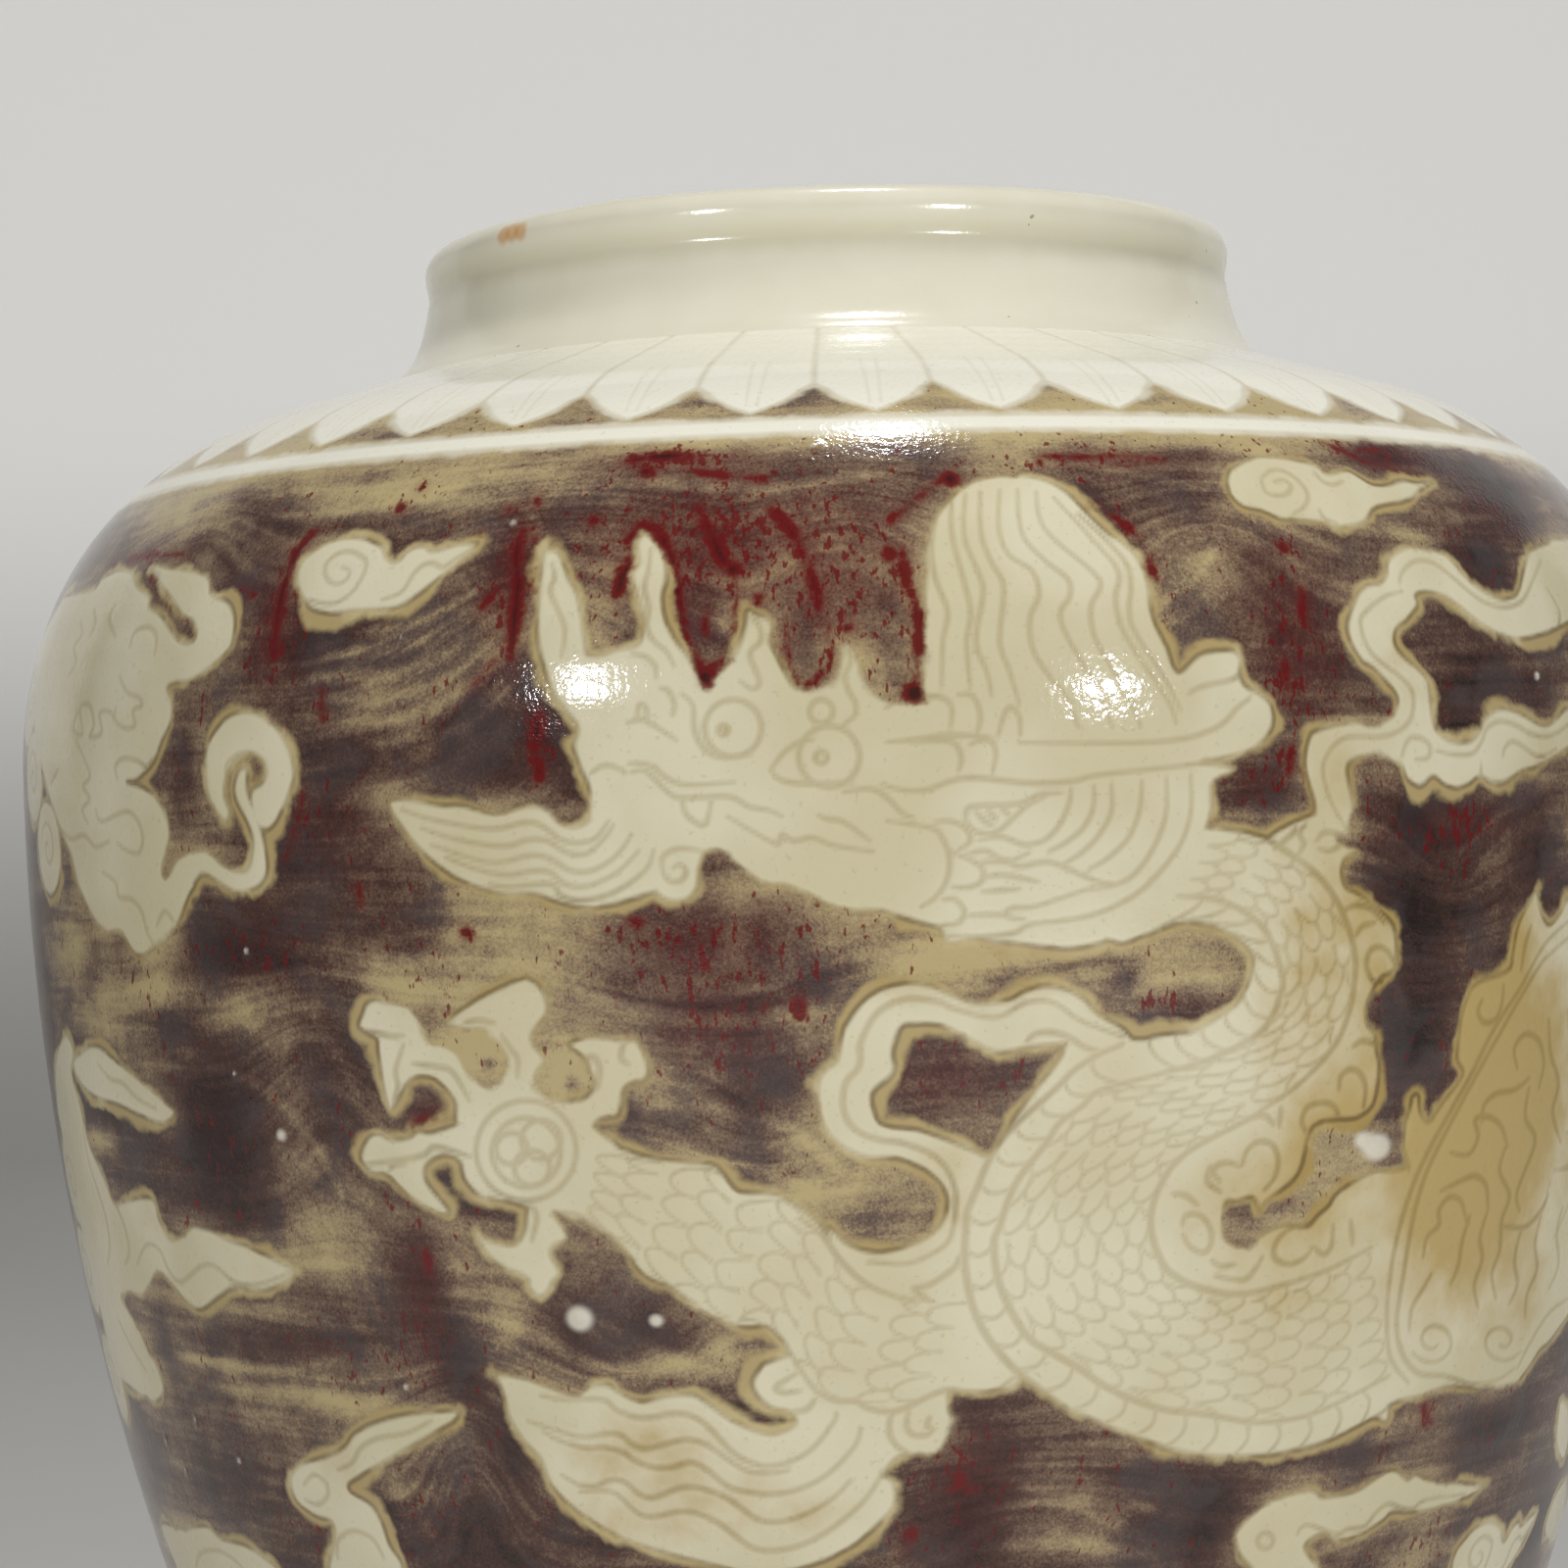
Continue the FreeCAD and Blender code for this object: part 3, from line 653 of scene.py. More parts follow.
# foreleg with its claw, the flame that streams from the shoulder and the hair at the elbow
leg = {
    "limb": [
        (606, 1155), (620, 1166), (664, 1181), (714, 1186), (731, 1191), (751, 1213), (764, 1217),
        (784, 1217), (801, 1222), (828, 1241), (853, 1268), (900, 1300), (990, 1290), (1020, 1330),
        (1040, 1405), (1012, 1419), (987, 1420), (962, 1419), (920, 1438), (901, 1440), (884, 1436),
        (873, 1430), (853, 1429), (837, 1422), (814, 1394), (798, 1366), (781, 1353), (759, 1354),
        (720, 1341), (687, 1315), (670, 1308), (653, 1297), (631, 1269), (587, 1241), (570, 1225),
        (575, 1180),
    ],
    "toes": [
        [(374, 1025), (383, 1020), (395, 1023), (414, 1025), (424, 1035), (436, 1062), (452, 1063),
         (464, 1070), (471, 1080), (483, 1101), (520, 1110), (520, 1160), (470, 1150), (464, 1123),
         (443, 1101), (421, 1101), (406, 1120), (399, 1132), (393, 1118), (386, 1075), (384, 1060),
         (372, 1052), (366, 1045), (370, 1035)],
        [(458, 1043), (483, 1022), (531, 999), (540, 999), (550, 1006), (557, 1020), (557, 1035), (543, 1054),
         (544, 1066), (552, 1075), (555, 1085), (548, 1094), (549, 1109), (560, 1130), (500, 1140),
         (498, 1104), (509, 1097), (514, 1085), (509, 1070), (498, 1062), (494, 1053), (475, 1050)],
        [(549, 1109), (557, 1118), (571, 1123), (590, 1123), (602, 1116), (607, 1104), (601, 1092),
         (597, 1080), (579, 1066), (602, 1058), (636, 1062), (650, 1063), (661, 1087), (659, 1101),
         (645, 1105), (636, 1113), (631, 1137), (619, 1140), (607, 1147), (590, 1180), (540, 1160)],
        [(376, 1161), (386, 1157), (400, 1163), (417, 1161), (426, 1155), (440, 1156), (462, 1149),
         (490, 1140), (520, 1200), (500, 1222), (488, 1218), (476, 1206), (475, 1197), (469, 1185),
         (457, 1179), (443, 1182), (433, 1194), (438, 1211), (459, 1237), (445, 1237), (417, 1220),
         (395, 1199), (381, 1197), (371, 1187), (369, 1177)],
        [(486, 1258), (497, 1266), (524, 1270), (536, 1255), (540, 1230), (560, 1215), (585, 1225),
         (565, 1237), (580, 1262), (566, 1270), (562, 1280), (571, 1299), (564, 1308), (559, 1318),
         (550, 1323), (540, 1313), (538, 1304), (512, 1292), (498, 1280), (490, 1268)],
        [(500, 1104), (549, 1105), (590, 1123), (607, 1150), (640, 1180), (660, 1230), (600, 1245),
         (562, 1235), (540, 1232), (520, 1226), (500, 1222), (476, 1206), (470, 1180), (466, 1150),
         (480, 1110)],
    ],
    "cuts": [
        [(412, 1065), (404, 1092), (406, 1108), (402, 1123)],
        [(372, 1052), (386, 1054), (400, 1057), (412, 1056)],
        [(421, 1085), (445, 1088), (462, 1094), (479, 1123)],
        [(528, 1099), (528, 1080), (521, 1070), (512, 1056)],
        [(475, 1043), (490, 1041), (505, 1044)],
        [(590, 1085), (605, 1078), (612, 1090), (610, 1110)],
        [(636, 1066), (634, 1080), (642, 1086)],
        [(372, 1188), (428, 1180), (445, 1170), (480, 1180)],
        [(398, 1192), (404, 1188), (414, 1188)],
        [(545, 1232), (548, 1244), (543, 1266)],
        [(562, 1240), (576, 1238), (595, 1243), (629, 1266), (643, 1285)],
        [(815, 1243), (837, 1258), (859, 1288), (889, 1313), (935, 1330)],
        [(931, 1314), (948, 1311), (973, 1294), (978, 1283)],
        [(931, 1314), (940, 1322), (950, 1328)],
    ],
    "hollows": [
        [(440, 1035), (458, 1056), (480, 1062), (502, 1063), (515, 1083), (510, 1097), (500, 1106),
         (488, 1105), (475, 1086), (461, 1069), (436, 1058)],
        [(568, 1062), (560, 1085), (549, 1104), (563, 1121), (579, 1124), (596, 1119), (606, 1108),
         (590, 1085)],
    ],
    "scales": (11, 4),
    "rings": [(537, 1174, 51), (537, 1176, 35), (552, 1163, 20), (543, 1192, 18), (522, 1172, 16)],
    "scaleUpper": [
        (600, 1170), (642, 1182), (689, 1188), (731, 1196), (764, 1222), (801, 1226), (842, 1262),
        (873, 1302), (930, 1325), (990, 1330),
    ],
    "scaleLower": [
        (592, 1238), (617, 1256), (670, 1305), (703, 1324), (737, 1346), (781, 1352), (826, 1410),
        (873, 1430), (940, 1428),
    ],
}

flame = {
    "outline": [
        (1150, 1054), (1120, 1034), (1107, 1021), (1093, 1012), (1077, 1007), (1061, 1007), (1045, 1012),
        (1027, 1021), (993, 1024), (950, 1006), (918, 1004), (886, 1017), (864, 1044), (858, 1059),
        (854, 1082), (843, 1091), (835, 1105), (836, 1137), (852, 1164), (882, 1180), (918, 1183),
        (950, 1198), (967, 1225), (957, 1253), (930, 1270), (893, 1278), (864, 1269), (852, 1257),
        (845, 1256), (860, 1300), (920, 1330), (1010, 1330), (1020, 1180), (1100, 1110), (1160, 1080),
    ],
    "pocket": [
        (920, 1048), (932, 1045), (964, 1048), (1009, 1071), (1027, 1073), (1061, 1067), (1086, 1066),
        (1086, 1066), (1080, 1082), (1048, 1123), (1018, 1168), (1007, 1180), (991, 1173), (941, 1154),
        (907, 1149), (895, 1141), (890, 1116), (909, 1098), (913, 1089), (911, 1078), (913, 1064),
    ],
    "cuts": [
        [(1145, 1058), (1102, 1041), (1075, 1023), (1048, 1023), (1023, 1036), (1004, 1037), (973, 1029),
         (957, 1022), (923, 1020), (895, 1034), (878, 1064), (878, 1080), (875, 1091), (864, 1103),
         (860, 1119), (862, 1137), (870, 1150), (884, 1159), (902, 1164), (923, 1167), (957, 1182),
         (975, 1214), (972, 1255), (961, 1273), (927, 1289), (886, 1288)],
        [(1048, 1062), (1056, 1055), (1072, 1053), (1090, 1058), (1106, 1068), (1120, 1072)],
    ],
}

elbow = {
    "outline": [
        (505, 1403), (505, 1403), (530, 1405), (574, 1420), (589, 1422), (605, 1414), (621, 1414),
        (636, 1423), (655, 1430), (677, 1425), (699, 1423), (714, 1427), (746, 1449), (780, 1463),
        (799, 1461), (812, 1452), (806, 1441), (787, 1436), (773, 1424), (768, 1411), (775, 1397),
        (784, 1390), (830, 1380), (900, 1400), (960, 1410), (968, 1438), (974, 1452), (964, 1477),
        (949, 1485), (930, 1484), (915, 1488), (903, 1503), (912, 1514), (912, 1536), (896, 1555),
        (871, 1577), (839, 1593), (808, 1602), (770, 1606), (740, 1600), (655, 1577), (614, 1558),
        (583, 1536), (562, 1514), (552, 1489), (535, 1470), (520, 1446), (514, 1422),
    ],
    "locks": [
        [(552, 1424), (574, 1428), (614, 1428), (630, 1439), (649, 1446), (667, 1446), (689, 1442),
         (708, 1446), (724, 1457), (752, 1485), (786, 1496), (824, 1482), (850, 1452), (853, 1442)],
        [(539, 1450), (580, 1463), (599, 1466), (617, 1463), (633, 1464), (646, 1474), (661, 1478),
         (696, 1469), (714, 1471), (730, 1480), (761, 1500), (786, 1503), (805, 1500)],
        [(555, 1461), (574, 1471), (596, 1477), (617, 1477), (636, 1482), (649, 1491), (667, 1497),
         (686, 1497), (705, 1492), (721, 1499), (749, 1519), (796, 1524), (839, 1508), (871, 1477),
         (878, 1458)],
        [(574, 1505), (589, 1514), (605, 1517), (624, 1510), (639, 1513), (652, 1524), (667, 1528),
         (702, 1517), (739, 1527), (771, 1549), (789, 1553), (808, 1550), (830, 1541), (852, 1527),
         (868, 1510)],
        [(592, 1522), (614, 1521), (630, 1525), (658, 1547), (699, 1542), (730, 1552), (764, 1577),
         (783, 1582), (805, 1580), (830, 1571), (855, 1555), (880, 1533), (896, 1511), (900, 1500)],
        [(806, 1441), (823, 1438), (832, 1427)],
        [(812, 1402), (792, 1415), (800, 1421), (817, 1419)],
        [(930, 1484), (917, 1477), (908, 1464), (908, 1449), (912, 1440)],
        [(927, 1440), (925, 1455), (932, 1464), (946, 1464), (952, 1458)],
        [(949, 1446), (946, 1454), (952, 1459)],
        [(806, 1380), (826, 1411), (837, 1422), (853, 1429), (873, 1430), (884, 1436), (901, 1440),
         (920, 1438), (962, 1419), (987, 1420), (1015, 1419), (1035, 1405)],
    ],
}

drawShapes(leg["limb"], *leg["toes"])
drawShapes(*leg["hollows"], pocket=True)
drawShapes(flame["outline"])
drawShapes(flame["pocket"], pocket=True)
drawShapes(elbow["outline"])
drawCuts(leg["cuts"] + flame["cuts"] + elbow["locks"], cutHalf["usual"])
drawRings(leg["rings"])
drawCut(body["loopBelly"], cutHalf["bold"])
drawScales(band(leg["scaleUpper"][::-1], leg["scaleLower"][::-1]), *leg["scales"])
print("leg drawn")

# streamers, clouds and the pieces along the left edge
clouds = {
    "rightCloud": [
        (1252, 487), (1259, 477), (1286, 466), (1330, 472), (1344, 477), (1354, 484), (1375, 481),
        (1399, 494), (1415, 495), (1430, 491), (1446, 493), (1461, 492), (1461, 492), (1449, 500),
        (1438, 510), (1404, 518), (1391, 533), (1365, 538), (1352, 534), (1322, 530), (1309, 530),
        (1286, 521), (1272, 518), (1262, 512), (1254, 503),
    ],
    "leftCloud": [
        (303, 588), (307, 576), (315, 567), (338, 553), (366, 549), (389, 558), (393, 567), (400, 574),
        (408, 572), (414, 565), (424, 559), (434, 558), (442, 563), (468, 556), (486, 555), (486, 555),
        (479, 564), (456, 584), (411, 617), (386, 622), (360, 623), (336, 626), (318, 620), (307, 605),
    ],
    "lowCloud": [
        (467, 1439), (467, 1439), (417, 1443), (386, 1451), (363, 1462), (351, 1477), (332, 1487),
        (309, 1493), (298, 1504), (298, 1519), (305, 1534), (321, 1546), (340, 1554), (341, 1577),
        (336, 1602), (345, 1635), (400, 1640), (412, 1602), (398, 1577), (390, 1554), (378, 1535),
        (356, 1519), (371, 1504), (451, 1458), (466, 1447),
    ],
    "cornerCloud": [
        (165, 1555), (185, 1560), (210, 1557), (225, 1570), (250, 1577), (270, 1590), (285, 1607),
        (262, 1632), (200, 1634), (178, 1592),
    ],
    "lowRightCloud": [
        (1262, 1562), (1295, 1532), (1330, 1522), (1342, 1523), (1352, 1528), (1385, 1521), (1412, 1503),
        (1425, 1501), (1436, 1510), (1446, 1505), (1462, 1511), (1514, 1515), (1514, 1515), (1500, 1526),
        (1460, 1541), (1422, 1543), (1410, 1552), (1380, 1569), (1362, 1570), (1350, 1564), (1331, 1578),
        (1346, 1604), (1335, 1630), (1295, 1628), (1278, 1602), (1266, 1588), (1261, 1575),
    ],
    "streamer": [
        (1620, 560), (1588, 550), (1575, 556), (1562, 561), (1557, 572), (1549, 603), (1538, 611),
        (1525, 610), (1499, 593), (1473, 566), (1444, 558), (1428, 562), (1416, 572), (1414, 587),
        (1408, 595), (1394, 598), (1383, 611), (1375, 643), (1388, 672), (1402, 682), (1424, 708),
        (1424, 724), (1415, 735), (1399, 739), (1378, 737), (1346, 745), (1336, 753), (1331, 782),
        (1341, 818), (1345, 850), (1378, 858), (1379, 840), (1380, 819), (1374, 785), (1383, 774),
        (1399, 771), (1415, 777), (1429, 780), (1436, 795), (1449, 802), (1462, 792), (1473, 800),
        (1486, 804), (1498, 800), (1510, 793), (1523, 800), (1536, 799), (1552, 787), (1570, 781),
        (1605, 760), (1630, 745), (1630, 712), (1600, 722), (1586, 735), (1573, 740), (1546, 726),
        (1530, 724), (1517, 732), (1509, 748), (1499, 757), (1483, 757), (1470, 750), (1462, 737),
        (1457, 698), (1446, 682), (1433, 672), (1423, 658), (1424, 643), (1436, 632), (1446, 618),
        (1444, 608), (1454, 604), (1470, 607), (1486, 616), (1517, 640), (1549, 652), (1591, 640),
        (1615, 620),
    ],
    "leftMass": [
        (62, 617), (69, 608), (96, 602), (105, 591), (120, 583), (134, 584), (141, 599), (152, 608),
        (153, 620), (165, 629), (178, 648), (187, 656), (197, 655), (201, 645), (196, 634), (186, 628),
        (176, 612), (156, 580), (202, 584), (214, 593), (217, 608), (232, 614), (239, 627), (239, 647),
        (232, 665), (199, 692), (178, 697), (171, 703), (176, 720), (174, 738), (165, 756), (157, 778),
        (140, 795), (130, 798), (150, 806), (162, 818), (174, 850), (166, 884), (171, 897), (198, 900),
        (192, 917), (171, 962), (141, 974), (123, 950), (105, 950), (82, 908), (74, 878), (50, 811),
        (35, 744), (34, 700), (40, 660),
    ],
    "scroll": [
        (231, 838), (222, 830), (214, 815), (210, 790), (211, 765), (217, 750), (229, 735), (244, 727),
        (262, 728), (280, 741), (292, 759), (299, 780), (298, 802), (281, 840), (268, 846), (259, 836),
        (256, 818), (258, 806), (267, 800), (272, 788), (268, 775), (257, 768), (246, 770), (236, 780),
        (230, 795), (229, 812), (234, 828),
    ],
    "scrollStem": [
        (252, 784), (243, 788), (240, 812), (257, 850), (257, 875), (252, 888), (240, 889), (227, 882),
        (212, 869), (196, 867), (182, 876), (172, 893), (160, 905), (190, 915), (200, 899), (210, 892),
        (238, 909), (256, 908), (269, 899), (273, 880), (264, 835), (254, 812), (252, 798),
    ],
    "leftTip": [
        (82, 1075), (97, 1067), (117, 1081), (163, 1119), (178, 1135), (167, 1146), (144, 1138), (121, 1127),
        (98, 1119), (82, 1104), (75, 1085),
    ],
    "leftTail": [
        (67, 1056), (75, 1073), (73, 1096), (82, 1127), (90, 1165), (105, 1200), (117, 1229), (126, 1226),
        (155, 1223), (163, 1246), (174, 1265), (186, 1261), (198, 1250), (213, 1254), (232, 1265),
        (255, 1273), (302, 1297), (302, 1297), (288, 1310), (263, 1317), (240, 1313), (221, 1325),
        (205, 1336), (190, 1327), (171, 1304), (160, 1300), (147, 1321), (132, 1319), (124, 1325),
        (136, 1346), (151, 1373), (167, 1415), (159, 1430), (144, 1423), (125, 1408), (116, 1396),
        (105, 1346), (90, 1285), (63, 1154), (57, 1108), (58, 1077),
    ],
    "rightBits": [
        [(1592, 1430), (1600, 1438), (1600, 1470), (1594, 1490), (1588, 1470)],
        [(1590, 1520), (1598, 1512), (1596, 1540), (1586, 1573), (1576, 1566), (1580, 1545)],
    ],
    "rings": [(1291, 1572, 8)],
    "rightCloudCuts": [
        [(1287, 488), (1298, 480), (1312, 482), (1326, 492), (1334, 505), (1331, 517), (1320, 524)],
        [(1287, 490), (1291, 502), (1302, 506), (1313, 504), (1317, 496), (1309, 490), (1300, 492)],
        [(1341, 482), (1349, 491), (1360, 495), (1370, 491)],
        [(1346, 520), (1352, 530), (1364, 534)],
    ],
    "leftCloudCuts": [
        [(316, 612), (334, 616), (348, 613), (364, 599), (374, 576), (366, 566), (354, 563), (342, 567),
         (333, 576), (332, 586), (337, 594), (346, 596), (355, 590), (356, 582), (349, 579)],
        [(390, 612), (410, 604), (422, 586), (432, 577), (442, 575), (452, 579), (460, 574), (483, 559)],
    ],
    "cuts": [
        # streamer
        [(1428, 595), (1430, 585), (1441, 574), (1457, 573), (1473, 582), (1504, 608), (1520, 617),
         (1536, 620), (1549, 616), (1558, 606), (1572, 572)],
        [(1430, 604), (1415, 608), (1399, 619), (1388, 635), (1399, 666), (1430, 692), (1441, 706),
         (1442, 722), (1437, 737), (1425, 747), (1407, 752), (1370, 754), (1350, 780), (1357, 816),
         (1374, 846)],
        [(1465, 766), (1483, 770), (1502, 769), (1512, 756), (1517, 743), (1530, 736), (1546, 740),
         (1560, 748), (1575, 752), (1590, 747), (1605, 735)],
        [(1430, 772), (1436, 756), (1446, 752), (1458, 760), (1457, 773), (1444, 775)],
        [(1551, 787), (1536, 797), (1523, 798), (1512, 792), (1511, 782)],
        [(1533, 772), (1536, 762), (1546, 757), (1570, 772), (1588, 764)],
        [(1578, 600), (1586, 614), (1591, 626), (1590, 640)],
        # left mass
        [(80, 725), (76, 745), (85, 748), (82, 722), (92, 720), (96, 740), (92, 752), (104, 748), (102, 728),
         (112, 726), (118, 736)],
        [(118, 722), (118, 735), (128, 743), (138, 740), (136, 725), (145, 720), (142, 712), (130, 706),
         (122, 690)],
        [(78, 755), (92, 790), (85, 802), (92, 815), (84, 826), (90, 840)],
        [(120, 795), (118, 782), (126, 774), (140, 776), (150, 782), (156, 774)],
        [(98, 826), (104, 838), (128, 828), (140, 836), (146, 855), (142, 870), (130, 868), (120, 860)],
        [(58, 840), (72, 856), (86, 852), (98, 864), (112, 858)],
        [(105, 890), (118, 900), (122, 915), (135, 918), (145, 930), (150, 950), (156, 962)],
        [(160, 945), (168, 930), (178, 940)],
        [(70, 690), (78, 676), (76, 660), (84, 648), (82, 634)],
        [(92, 650), (98, 636), (96, 622)],
        [(118, 650), (112, 632), (118, 618)],
        [(133, 660), (138, 645), (152, 640), (160, 650), (158, 668)],
        [(60, 785), (52, 800)],
        [(230, 795), (232, 780), (246, 769), (260, 772), (268, 785), (262, 797), (254, 793)],
        # lower left
        [(74, 1100), (97, 1180), (125, 1245), (132, 1275), (128, 1290)],
        [(84, 1150), (92, 1190), (105, 1230), (112, 1265), (110, 1290)],
        [(140, 1290), (150, 1270), (163, 1275), (172, 1295), (185, 1308), (205, 1292), (220, 1292),
         (240, 1308), (265, 1310), (300, 1297)],
        [(100, 1085), (112, 1100), (125, 1105), (140, 1120), (160, 1132)],
        [(120, 1345), (135, 1375), (150, 1400)],
        # low clouds
        [(440, 1450), (415, 1462), (385, 1468), (368, 1478), (360, 1492), (345, 1500)],
        [(310, 1515), (320, 1505), (332, 1512), (335, 1525), (325, 1535), (312, 1530)],
        [(345, 1590), (345, 1572), (360, 1562), (380, 1570), (392, 1590)],
        [(200, 1600), (205, 1585), (222, 1582), (240, 1592), (255, 1608)],
        [(1324, 1565), (1327, 1559), (1337, 1556), (1362, 1565), (1375, 1560), (1392, 1557), (1405, 1542),
         (1417, 1534), (1430, 1539), (1442, 1539), (1455, 1530), (1495, 1525)],
    ],
}

single = ("rightCloud", "leftCloud", "lowCloud", "cornerCloud", "lowRightCloud", "streamer", "leftMass",
          "scroll", "scrollStem", "leftTip", "leftTail")
drawShapes(*(clouds[key] for key in single), *clouds["rightBits"])
drawCuts(clouds["cuts"] + clouds["rightCloudCuts"] + clouds["leftCloudCuts"])
drawRings(clouds["rings"])
print("clouds and streamers drawn")

# guessed drawing past what the photograph shows: the tail at the sides, and clouds there and below
past = {
    "side": 84,  # degrees round; the points below are pixels as if this side faced the camera
    "tailMiddle": [
        (370, 1190), (480, 1215), (570, 1260), (660, 1285), (745, 1245), (800, 1160), (835, 1060), (895, 975),
        (980, 940), (1060, 955), (1110, 1005),
    ],
    "tailHalf": (135, 10),  # half width at the root and at the tip
    "plateShare": 0.45,     # where the belly plates begin, of the half width
    "tailTip": [
        (1060, 985), (1075, 940), (1115, 915), (1160, 875), (1160, 875), (1142, 925), (1160, 930),
        (1200, 925), (1200, 925), (1165, 965), (1165, 1000), (1195, 1040), (1195, 1040), (1145, 1030),
        (1130, 1060), (1140, 1110), (1140, 1110), (1100, 1065), (1080, 1030),
    ],
    "tailTipCuts": [
        [(1085, 990), (1115, 950), (1150, 895)],
        [(1095, 1005), (1140, 975), (1185, 935)],
        [(1095, 1025), (1130, 1010), (1180, 1032)],
        [(1095, 1040), (1110, 1060), (1132, 1095)],
    ],
    "tailScales": (26, 5),
    # which cloud, degrees round and height of its middle in metres
    "clouds": [
        ("leftCloud", 82, 0.345), ("rightCloud", 92, 0.185), ("leftCloud", -68, 0.102),
        ("rightCloud", -40, 0.092), ("leftCloud", -10, 0.126), ("rightCloud", 22, 0.098),
        ("leftCloud", 54, 0.128), ("rightCloud", 84, 0.102),
        ("lobe", -71, 0.331), ("lobe", -68, 0.313), ("lobe", -64, 0.296),
        ("lobe", -69, 0.216), ("lobe", -70, 0.194), ("lobe", -69, 0.168),
    ],
    "lobe": (800, 900, 56),
    "lobeCurl": (800, 900, 33.6, 5, 200, 1.2),  # a spiral in it
}


# edges of the tail: its middle line moved to both sides by a width that runs out towards the tip
def drawTail():
    middle = evenly(smooth(past["tailMiddle"]), 40)
    ahead = np.gradient(middle, axis=0)
    aside = np.stack([-ahead[:, 1], ahead[:, 0]], 1) / np.hypot(*ahead.T)[:, None]
    half = np.linspace(*past["tailHalf"], len(middle))[:, None]
    one, two = middle - half * aside, middle + half * aside
    plate = middle + past["plateShare"] * half * aside
    drawShapes(np.concatenate([one, two[::-1]]), past["tailTip"])
    drawCut(plate)
    drawScales(band(plate, one), *past["tailScales"])
    drawPlates(band(two, plate), past["tailScales"][0])
    drawCuts(past["tailTipCuts"])


moveDrawing(past["side"])
drawTail()
clouds["lobe"], clouds["lobeCuts"] = circle(*past["lobe"]), [spiral(*past["lobeCurl"])]
for key, degrees, height in past["clouds"]:
    middle, = onWall([np.mean(clouds[key], 0)])
    moveDrawing(degrees - math.degrees(middle[0]), lengthAt(height) - middle[1])
    drawShapes(clouds[key])
    drawCuts(clouds[key + "Cuts"])
moveDrawing()
print("tail and further clouds drawn")

# leaves round the shoulder and, as a guess, the foot: tips on a double line, patches of ground between them
leaves = {
    "count": 42,
    "tip": (895, 422),       # photograph pixels
    "lineHigh": (800, 423),
    "lineLow": (800, 442),
    "patchPeak": (829, 390),
    "footLine": 0.052,       # height in metres
    "ribGap": 0.0011,
    "veinPitch": 0.0036,
    "veinLean": 1.7,
    "veinEnd": 0.030,
    "veinStart": 0.003,
    "veinMargin": 0.0015,    # kept clear of veins along a leaf's edge
    "ribSpread": 0.05,       # length over which the twin rib doubles its gap
    "ease": 0.0018,          # how far pale glaze creeps over the patches
    "hollow": 2.2,           # how concave the patches' sides are
    "thin": 0.65,            # how much paler the ground is in the patches and by the line, and how far
    "thinReach": 0.006,
}


# patch: narrows away from the tips, from a full period to nothing; leaf lines: twin rib, edge and veins that
# meet at the rib; way is 1 for tips down and -1 for tips up
def drawLeaves(tipAngle, line, gap, peak, end, way):
    period = 2 * math.pi / leaves["count"]
    off = np.abs((columnAngle - tipAngle + period / 2) % period - period / 2) * rowRadius[:, None]
    half = period / 2 * rowRadius[:, None]
    above = way * (rowLength[:, None] - line)
    share = np.clip(1 - above / peak, 0, 1)
    patch = np.minimum(above, 0.8 * (half * share ** leaves["hollow"] - half + off))
    patch = patch + leaves["ease"] * np.minimum(4 * share, 1)
    wall["reserve"] = np.maximum(wall["reserve"], np.minimum(above + gap, -patch))
    rib = np.abs(off - leaves["ribGap"] * (1 + above / leaves["ribSpread"])) - 0.0002
    side = np.where(above > peak, half - off + 0.0003, farOff)
    row = (above - leaves["veinLean"] * off) / leaves["veinPitch"]
    vein = np.abs(row - np.round(row)) * leaves["veinPitch"] * 0.8 + 0.0001
    vein = np.where((off > 2.5 * leaves["ribGap"]) & (off < half - leaves["veinMargin"]), vein, farOff)
    lines = np.where(above > leaves["veinStart"], np.minimum(np.minimum(rib, side), vein), farOff)
    lines = np.where(above < min(end - 0.006, leaves["veinEnd"]), lines, farOff)
    wall["cut"] = np.minimum(wall["cut"], lines + 0.00015)
    wall["tone"] -= leaves["thin"] * np.exp(-((np.minimum(above + gap, 0) / leaves["thinReach"]) ** 2))


def drawLeafBands():
    places = onWall([leaves[key] for key in ("tip", "lineHigh", "lineLow", "patchPeak")])
    tipAngle, high, low, peak = places[0, 0], *places[1:, 1]
    drawLeaves(tipAngle, high, high - low, peak - high, sectionS[-1] - high, 1)
    footLine = lengthAt(leaves["footLine"])
    drawLeaves(tipAngle, footLine, high - low, peak - high, footLine, -1)


drawLeafBands()
print("leaf bands drawn")

